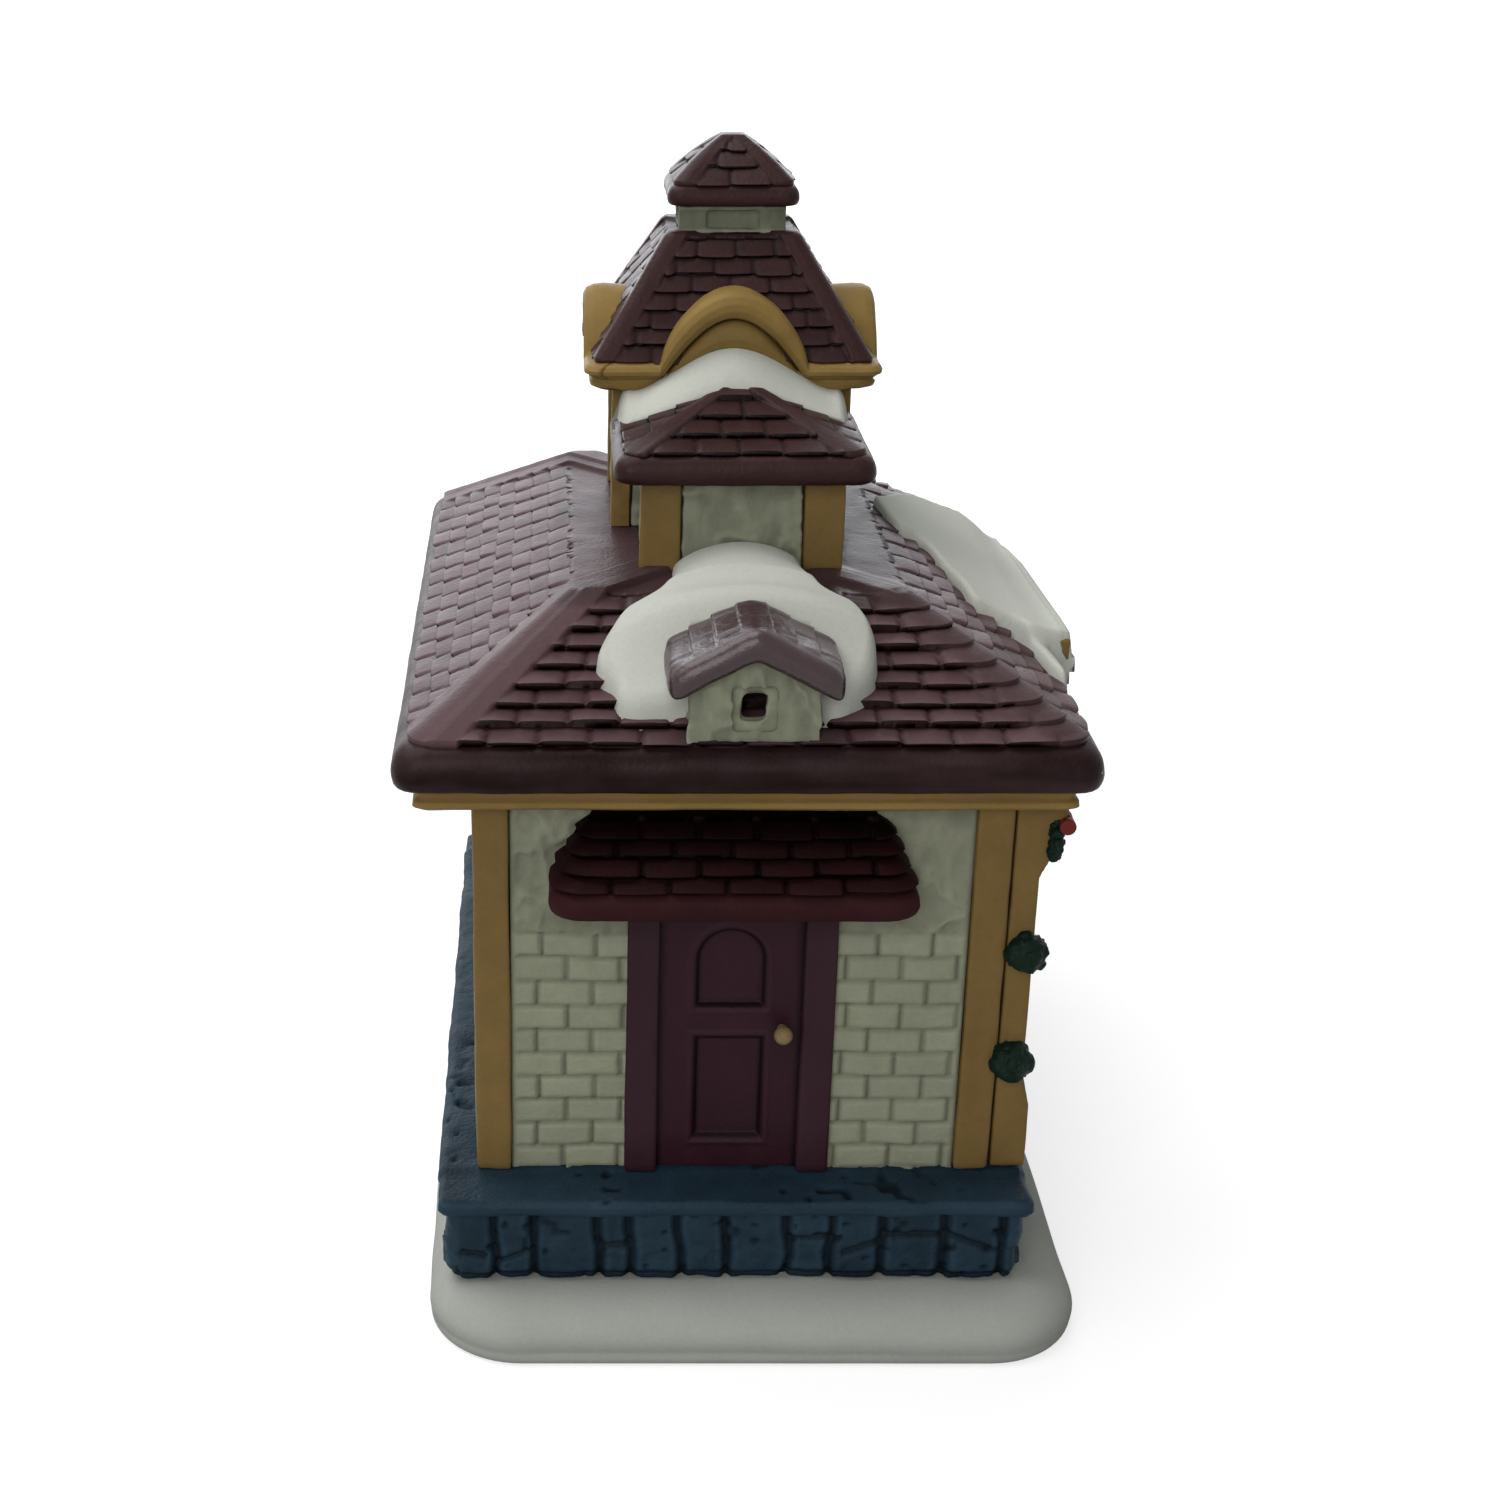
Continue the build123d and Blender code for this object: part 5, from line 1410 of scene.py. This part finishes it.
# Parapet over the street entrance: a low ochre screen with a sunk arch, standing on the eave.
# It is a separate small casting luted to the roof's edge.
parapet_low, parapet_high = node_box("street_parapet")
parapet_stops = [parapet_low[1], -10.0, 12.0, parapet_high[1]]
parapet_levels = [97.9, 97.0, 95.8, 93.4]


def parapet_crest(y):
    """Level of the parapet's uneven top."""
    return np.interp(y, parapet_stops, parapet_levels)


parapet = cast_copy("street_parapet", voxel=0.36, soften=4, relief=cornice_relief)
for vertex in parapet.vertices:
    rise = (vertex.co.z / MM - parapet_low[2]) / (parapet_high[2] - parapet_low[2])
    crest = float(parapet_crest(vertex.co.y / MM))
    vertex.co.z = (parapet_low[2] + rise * (crest - parapet_low[2])) * MM
set_piece("street_parapet", parapet, ochre)

# Snow on the roof: slip trailed on thick over the finished casting, with full rounded edges.
# It lies round the dormer, under the front hood and down the street slope, and stays bare white.
def smooth_line(stops, count):
    """Evenly spaced points on a smooth line through the stops."""
    stops = np.array(stops, float)
    before = np.vstack([2 * stops[0] - stops[1], stops[:-2]])
    after = np.vstack([stops[2:], 2 * stops[-1] - stops[-2]])
    share = np.linspace(0, 1, count, endpoint=False)[None, :, None]
    a, b, c, d = before[:, None], stops[:-1, None], stops[1:, None], after[:, None]
    curve = b + 0.5 * share * (c - a + share * (2 * a - 5 * b + 4 * c - d + share * (3 * (b - c) + d - a)))
    return np.vstack([curve.reshape(-1, 2), stops[-1:]])


def inside_depth(x, y, outline):
    """Distance inside a closed outline in plan, negative outside."""
    gap = np.full(x.shape, 1e9)
    odd = np.zeros(x.shape, bool)
    for first, last in zip(outline, np.roll(outline, -1, 0)):
        edge = last - first
        share = np.clip(((x - first[0]) * edge[0] + (y - first[1]) * edge[1]) / max(edge @ edge, 1e-9), 0, 1)
        gap = np.minimum(gap, np.hypot(x - first[0] - share * edge[0], y - first[1] - share * edge[1]))
        crosses = (first[1] > y) != (last[1] > y)
        where = first[0] + (y - first[1]) / (edge[1] if edge[1] else 1e-9) * edge[0]
        odd ^= crosses & (x < where)
    return np.where(odd, gap, -gap)


def full_edge(depth, radius):
    """Rounded edge of a thick layer: 0 at the outline and 1 a radius inside it."""
    share = np.clip(depth / radius, 0, 1)
    return np.sqrt(1 - (1 - share) ** 2)


snow_skirt = 0.9
snow_sunk = 3.0


def trailed_snow(points, depth):
    """Snow from a height field: cut off a little way outside its outline, then closed underneath."""
    mesh = lay_grid(points, {"depth": depth, "tone": 0.1 * lumps(points, 12, 262)}, whole=False)
    bm = bmesh.new()
    bm.from_mesh(mesh)
    mark = bm.verts.layers.float["depth"]
    gone = [face for face in bm.faces if all(vertex[mark] < -snow_skirt for vertex in face.verts)]
    bmesh.ops.delete(bm, geom=gone, context="FACES")
    closed(bm)
    bm.to_mesh(mesh)
    bm.free()
    return mesh


slope_foot = eave_half - 0.8
slope_head = np.array(deck_half) + 0.5


def roof_level(x, y):
    """Level of the roof under a place in plan."""
    way_x, way_y = slope_foot - slope_head
    share = np.minimum((slope_foot[0] - abs(x)) / way_x, (slope_foot[1] - abs(y)) / way_y)
    return course_level + (deck_level - course_level) * np.clip(share, 0, 1)


def snow_lift(depth, height, radius):
    """Height of snow above its bed, full and rounded at the edge and sunk in the bed outside it."""
    return height * full_edge(depth + 0.35, radius) - snow_sunk * step(0.1, -0.7, depth)


snow_white = bisque_paint(
    "snow_white",
    paint=(0.473, 0.483, 0.433),
    wash_and_shade=(0.333, 0.347, 0.313),
    roughness=0.8,
    stroke_depth=0.1,
    stroke_size=90.0,
    wash_and_shade_amount=0.5,
    bump=0.1,
)
# The drift lies round the dormer and is highest just behind its gable.
drift_left = [
    (-7.0, -58.4), (-12.3, -59.3), (-15.6, -59.5), (-17.7, -58.3), (-18.6, -55.8), (-20.5, -52.7),
    (-20.6, -50.1), (-18.2, -45.4), (-14.7, -42.0), (-11.4, -38.5), (-9.6, -33.0), (-9.2, -28.0),
]
drift_right = [
    (9.8, -28.0), (10.2, -33.0), (11.8, -39.0), (14.3, -42.0), (16.9, -45.4), (18.5, -50.1),
    (17.9, -54.0), (15.3, -57.3), (12.4, -59.2), (8.2, -58.4),
]
drift_outline = np.vstack([smooth_line(drift_left, 8), smooth_line(drift_right, 8)])
drift_x, drift_y = np.meshgrid(np.linspace(-24, 22, 184), np.linspace(-62.5, -27.4, 140))
drift_depth = inside_depth(drift_x, drift_y, drift_outline)
drift_peak = -49.5
drift_back = np.where(drift_y < drift_peak, 4.6, 6.5)
drift_crest = 3.2 + 7.0 * np.exp(-(((drift_y - drift_peak) / drift_back) ** 2))
drift_crest = drift_crest + 2.0 * step(-46, -34, drift_y)
drift_half = np.interp(drift_y, [-60, -50, -45, -42, -38, -33], [19.5, 20.5, 18.5, 15.5, 12.0, 10.0])
drift_foot = 1.3 + 1.9 * step(-36, -46, drift_y)
drift_across = np.clip(1 - ((drift_x - dormer_middle) / drift_half) ** 2, 0, 1)
drift_height = drift_foot + (drift_crest - drift_foot) * drift_across**0.8
drift_height = drift_height + 0.25 * lumps(np.dstack([drift_x, drift_y, drift_x * 0]), 8, 261)
drift_level = roof_level(drift_x, drift_y) + snow_lift(drift_depth, drift_height, 1.9)
dormer_wall = node_box("dormer_walls")[1]
in_dormer = abs(drift_x - dormer_middle) < dormer_wall[0] - dormer_middle - 0.9
in_dormer = in_dormer & (drift_y < dormer_wall[1] - 1)
drift_level = np.where(in_dormer, roof_level(drift_x, drift_y) - snow_sunk, drift_level)
drift = trailed_snow(np.dstack([drift_x, drift_y, drift_level]), drift_depth)
set_piece("front_snow", drift, snow_white)

# The snow packed under the front hood fills the gap between the bay's roof and the hood's lip.
packed_front = -14.2
packed_half = 17.2
packed_round = 0.6
packed_x, packed_y = np.meshgrid(
    np.linspace(-19.4, 20.4, 160), np.linspace(packed_front, cornice_low[1] + 3.0, 50)
)
packed_run = packed_x - tower_middle[0]
packed_top = cornice_low[2] + lip_level(packed_run, lip_half[3], hood_rise[3] - lip_under) + 0.7
packed_way = np.clip((packed_y - packed_front) / (cornice_low[1] + 1.0 - packed_front), 0, 1)
packed_way = 0.5 * packed_way + 0.5 * full_edge(packed_way, 1.0)
bay_slope_fall = (bay_ridge - bay_roll) / bay_half
packed_down = np.maximum(abs(packed_x - bay_middle), (-bay_ridge_back - packed_y).clip(0))
packed_bed = bay_ridge - bay_slope_fall * packed_down - 0.4
packed_level = packed_bed + (packed_top - packed_bed).clip(0) * packed_way
packed_level = packed_level + 0.2 * lumps(np.dstack([packed_x, packed_y, packed_x * 0]), 7, 264)
packed_depth = packed_half + packed_round - abs(packed_run)
packed_level = packed_level - 6.0 * (1 - full_edge(packed_depth, 2.0))
packed_level = np.maximum(packed_level, packed_bed - 0.6)
packed = trailed_snow(np.dstack([packed_x, packed_y, packed_level]), packed_depth)
set_piece("bay_snow", packed, snow_white)

# The sheet on the street slope runs down over the parapet's top and thins out towards the rear.
sheet_front = [
    (25.6, 9.0), (26.4, 4.0), (27.0, 0.0), (28.4, -3.2), (31.9, -3.6), (33.8, -11.4), (35.8, -17.6),
    (36.6, -24.6), (39.8, -25.6), (43.2, -27.0), (45.4, -31.6), (46.9, -37.0), (48.3, -39.4),
    (48.9, -36.6), (48.2, -32.0), (47.6, -29.8), (49.4, -28.9), (51.1, -28.2),
]
sheet_back = [
    (51.3, -20.0), (51.3, 26.0), (50.9, 29.0), (49.4, 31.0), (48.8, 40.0), (47.4, 47.0),
    (44.0, 46.0), (38.0, 36.0), (32.0, 24.0), (27.4, 12.6),
]
sheet_outline = np.vstack([smooth_line(sheet_front, 8), smooth_line(sheet_back, 8)])
sheet_x, sheet_y = np.meshgrid(np.linspace(23.5, 52.6, 112), np.linspace(-42, 62, 275))
sheet_depth = inside_depth(sheet_x, sheet_y, sheet_outline)
roll_reach = 2.8
roll_share = np.clip((sheet_x - eave_half[0] + roll_reach) / roll_reach, 0, 0.98)
roll_level = course_level - 3.0 + 4.2 * np.sqrt(1 - roll_share**2) + 30 * (1 - roll_share)
sheet_bed = np.minimum(roof_level(sheet_x, sheet_y), roll_level)
sheet_bed = sheet_bed - settled(np.dstack([sheet_x, sheet_y, sheet_bed]))
on_parapet = step(parapet_low[1] - 1.0, parapet_low[1] + 0.6, sheet_y)
on_parapet = on_parapet * step(parapet_high[1] + 3, parapet_high[1] - 3, sheet_y)
crest_gap = parapet_crest(sheet_y) - 0.5 - sheet_bed
filled = sheet_bed + 0.5 * (crest_gap + np.hypot(crest_gap, 2.6))
sheet_bed = sheet_bed + (filled - sheet_bed) * on_parapet * step(29.0, 43.0, sheet_x)
sheet_thick = 2.0
sheet_height = sheet_thick - 0.7 * on_parapet * step(44.0, 49.0, sheet_x)
sheet_height = sheet_height + 0.2 * lumps(np.dstack([sheet_x, sheet_y, sheet_x * 0]), 16, 266)
sheet_level = sheet_bed + snow_lift(sheet_depth, sheet_height, 1.5 + 4.5 * step(20.0, 40.0, sheet_y))
sheet = trailed_snow(np.dstack([sheet_x, sheet_y, sheet_level]), sheet_depth)
set_piece("street_snow", sheet, snow_white)

# Christmas greens on the corner pilaster: two bunches and a small wreath with a bow.
# They are modelled in clay as clumps of short leaves and painted dark green, the bow red.
leaf_green = bisque_paint(
    "leaf_green",
    paint=(0.004, 0.0133, 0.00867),
    wash_and_shade=(0.000667, 0.00267, 0.002),
    roughness=0.5,
    stroke_depth=0.6,
    stroke_size=300.0,
    wash_and_shade_amount=0.8,
    bump=0.1,
)
bow_red = bisque_paint(
    "bow_red",
    paint=(0.153, 0.0233, 0.02),
    wash_and_shade=(0.0333, 0.00667, 0.00667),
    roughness=0.5,
    stroke_depth=0.4,
    stroke_size=260.0,
    wash_and_shade_amount=0.8,
    bump=0.1,
)


def clump(centres, radius, seed):
    """Balls of short, blunt leaves, modelled in one lump."""
    bm = bmesh.new()
    for centre in centres:
        place = Matrix.Translation(Vector(centre) * MM)
        core = radius * 0.86
        ball = bmesh.ops.create_icosphere(bm, subdivisions=5, radius=core * MM, matrix=place)["verts"]
        spots = np.array([vertex.co for vertex in ball]) / MM
        way = (spots - centre) / core
        leaf = rough(spots, radius * 0.36, seed)
        push = radius * (0.14 * step(-0.25, 0.3, leaf) + 0.1 * lumps(spots, radius * 0.9, seed + 4) - 0.03)
        for vertex, spot in zip(ball, spots + way * push[:, None]):
            vertex.co = Vector(spot) * MM
    mesh = bpy.data.meshes.new("clump")
    bm.to_mesh(mesh)
    bm.free()
    return mesh


bunch_low, bunch_high = node_box("green_bunches")
bunch_radius = 3.4
bunch_inset = 3.5
bunch_centres = [
    (41.7, bunch_low[1] + bunch_inset, bunch_high[2] - bunch_inset),
    (40.8, bunch_low[1] + bunch_inset, bunch_low[2] + bunch_inset),
]
set_piece("green_bunches", clump(bunch_centres, bunch_radius, seed=3), leaf_green)
wreath_low, wreath_high = node_box("wreath")
wreath_tube = 1.3
wreath_reach = (wreath_high[1] - wreath_low[1]) / 2
wreath_ring = wreath_reach - wreath_tube
wreath_x = wreath_high[0] - wreath_tube
wreath_y = (wreath_low[1] + wreath_high[1]) / 2
wreath_z = wreath_low[2] + wreath_reach
wreath_centres = [
    (wreath_x, wreath_y + wreath_ring * math.cos(turn), wreath_z + wreath_ring * math.sin(turn))
    for turn in np.linspace(0, 2 * math.pi, 12, endpoint=False)
]
set_piece("wreath", clump(wreath_centres, wreath_tube, seed=5), leaf_green)
set_casting("bow", voxel=0.16, soften=3, relief=None, material=bow_red)

# Lamp: a moulded plastic holder pushed into the rear hole and kept there by two spring clips.
# A small screw-in bulb stands in its socket; the contact button is at the bottom of the socket.
def drawn_metal(name, colour, roughness):
    """Bare sheet metal with fine drawing marks that vary its shine."""
    material = bpy.data.materials.new(name)
    material.use_nodes = True
    tree = material.node_tree
    shader = tree.nodes["Principled BSDF"]
    shader.inputs["Base Color"].default_value = (*colour, 1)
    shader.inputs["Metallic"].default_value = 1.0
    place = tree.nodes.new("ShaderNodeTexCoord")
    marks = tree.nodes.new("ShaderNodeTexNoise")
    marks.inputs["Scale"].default_value = 900.0
    marks.inputs["Detail"].default_value = 4.0
    node_link(tree, place, "Object", marks, "Vector")
    shine = tree.nodes.new("ShaderNodeMapRange")
    shine.inputs["To Min"].default_value = roughness - 0.12
    shine.inputs["To Max"].default_value = roughness + 0.18
    node_link(tree, marks, "Fac", shine, "Value")
    node_link(tree, shine, "Result", shader, "Roughness")
    return material


holder_white = bisque_paint(
    "holder_white",
    paint=(0.62, 0.61, 0.56),
    wash_and_shade=(0.45, 0.44, 0.4),
    roughness=0.42,
    stroke_depth=0.06,
    stroke_size=60.0,
    wash_and_shade_amount=0.3,
    bump=0.05,
    sheen=0.5,
)
spring_steel = drawn_metal("spring_steel", (0.56, 0.56, 0.55), 0.3)
contact_brass = drawn_metal("contact_brass", (0.72, 0.5, 0.2), 0.32)
cap_brass = drawn_metal("cap_brass", (0.75, 0.6, 0.32), 0.28)
clear_glass = bpy.data.materials.new("clear_glass")
clear_glass.use_nodes = True
glass_tree = clear_glass.node_tree
glass_shader = glass_tree.nodes["Principled BSDF"]
glass_shader.inputs["Base Color"].default_value = (0.95, 0.95, 0.93, 1)
glass_shader.inputs["Transmission Weight"].default_value = 1.0
glass_shader.inputs["IOR"].default_value = 1.45
glass_place = glass_tree.nodes.new("ShaderNodeTexCoord")
glass_waves = glass_tree.nodes.new("ShaderNodeTexNoise")
glass_waves.inputs["Scale"].default_value = 260.0
node_link(glass_tree, glass_place, "Object", glass_waves, "Vector")
glass_haze = glass_tree.nodes.new("ShaderNodeMapRange")
glass_haze.inputs["To Min"].default_value = 0.02
glass_haze.inputs["To Max"].default_value = 0.09
node_link(glass_tree, glass_waves, "Fac", glass_haze, "Value")
node_link(glass_tree, glass_haze, "Result", glass_shader, "Roughness")
lamp_plan = {
    "lamp_flange": ("holder", holder_white),
    "lamp_socket": ("holder", holder_white),
    "lamp_clips": ("spring", spring_steel),
    "lamp_contact": ("contact", contact_brass),
    "bulb_cap": ("cap", cap_brass),
    "bulb_glass": ("glass", clear_glass),
}
for node, (slot, material) in lamp_plan.items():
    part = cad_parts[node]
    part.data.materials.clear()
    part.data.materials.append(material)

# Set: a pale floor under even daylight from a large soft lamp above and behind, and a dim one in front.
# The floor is a plain sheet that keeps the object's shadow.
floor_bm = bmesh.new()
bmesh.ops.create_grid(floor_bm, x_segments=1, y_segments=1, size=3.0)
floor_mesh = bpy.data.meshes.new("floor")
floor_bm.to_mesh(floor_mesh)
floor_bm.free()


def seen_directly(tree):
    """Value of 1 for camera, glossy and transmission rays, so that only the lighting is dimmer."""
    path = tree.nodes.new("ShaderNodeLightPath")
    value = path.outputs["Is Camera Ray"]
    for label in ("Is Glossy Ray", "Is Transmission Ray"):
        either = tree.nodes.new("ShaderNodeMath")
        either.operation = "MAXIMUM"
        tree.links.new(value, either.inputs[0])
        node_link(tree, path, label, either, 1)
        value = either.outputs[0]
    return value


def scaled(tree, value, low, high):
    """Value from low to high as the given one goes from 0 to 1."""
    span = tree.nodes.new("ShaderNodeMapRange")
    span.inputs["To Min"].default_value = low
    span.inputs["To Max"].default_value = high
    tree.links.new(value, span.inputs["Value"])
    return span.outputs["Result"]


floor_white = bisque_paint(
    "floor_white",
    paint=(0.4, 0.4, 0.4),
    wash_and_shade=(0.367, 0.367, 0.367),
    roughness=0.9,
    stroke_depth=0.02,
    stroke_size=8.0,
    wash_and_shade_amount=0.2,
    bump=0.02,
    sheen=0.0,
)
floor_tree = floor_white.node_tree
floor_shader = floor_tree.nodes["Principled BSDF"]
floor_shader.inputs["Emission Color"].default_value = (1, 1, 1, 1)
floor_place = floor_tree.nodes.new("ShaderNodeTexCoord")
floor_reach = floor_tree.nodes.new("ShaderNodeVectorMath")
floor_reach.operation = "LENGTH"
node_link(floor_tree, floor_place, "Object", floor_reach, 0)
floor_paling = floor_tree.nodes.new("ShaderNodeMapRange")
floor_paling.inputs["From Min"].default_value = 0.2
floor_paling.inputs["From Max"].default_value = 1.1
floor_paling.inputs["To Min"].default_value = 0.7
floor_paling.inputs["To Max"].default_value = 1.0
node_link(floor_tree, floor_reach, "Value", floor_paling, "Value")
floor_glow = floor_tree.nodes.new("ShaderNodeMath")
floor_glow.operation = "MULTIPLY"
floor_tree.links.new(seen_directly(floor_tree), floor_glow.inputs[0])
node_link(floor_tree, floor_paling, "Result", floor_glow, 1)
node_link(floor_tree, floor_glow, 0, floor_shader, "Emission Strength")
floor_mesh.materials.append(floor_white)
floor = bpy.data.objects.new("floor", floor_mesh)
scene = bpy.context.scene
scene.collection.objects.link(floor)
floor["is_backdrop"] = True


def soft_lamp(name, place, aim, size, watts, tint=(1, 1, 1)):
    """Square soft lamp aimed at a spot, in metres."""
    light = bpy.data.lights.new(name, "AREA")
    light.shape = "SQUARE"
    light.size = size
    light.energy = watts
    light.color = tint
    lamp = bpy.data.objects.new(name, light)
    lamp.location = place
    lamp.rotation_euler = (Vector(aim) - Vector(place)).to_track_quat("-Z", "Y").to_euler()
    scene.collection.objects.link(lamp)


soft_lamp("sky_lamp", place=(-0.45, 0.1, 1.2), aim=(0, 0, 0.08), size=1.1, watts=13.5)
soft_lamp(
    "window_lamp", place=(-0.15, 1.3, 0.45), aim=(0, 0, 0.1), size=1.3, watts=12.5, tint=(0.9, 0.94, 1.0)
)
soft_lamp("front_lamp", place=(-0.4, -1.3, 0.7), aim=(0, 0, 0.08), size=0.9, watts=9.5)
world = bpy.data.worlds.new("daylight")
world.use_nodes = True
sky = world.node_tree.nodes["Background"]
sky.inputs["Color"].default_value = (1, 1, 1, 1)
sky_tree = world.node_tree
sky_strength = scaled(sky_tree, seen_directly(sky_tree), low=0.21, high=1.0)
sky_tree.links.new(sky_strength, sky.inputs["Strength"])
scene.world = world
scene.view_settings.view_transform = "Standard"
camera_data = bpy.data.cameras.new("camera")
camera_data.lens = 56.29
camera_data.sensor_width = 36.0
camera_data.shift_x = 0.1298
camera = bpy.data.objects.new("camera", camera_data)
camera.location = (-0.02685, -0.3631, 0.2177)
camera.rotation_euler = (math.radians(67.561), 0, 0)
scene.collection.objects.link(camera)
scene.camera = camera

low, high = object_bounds()
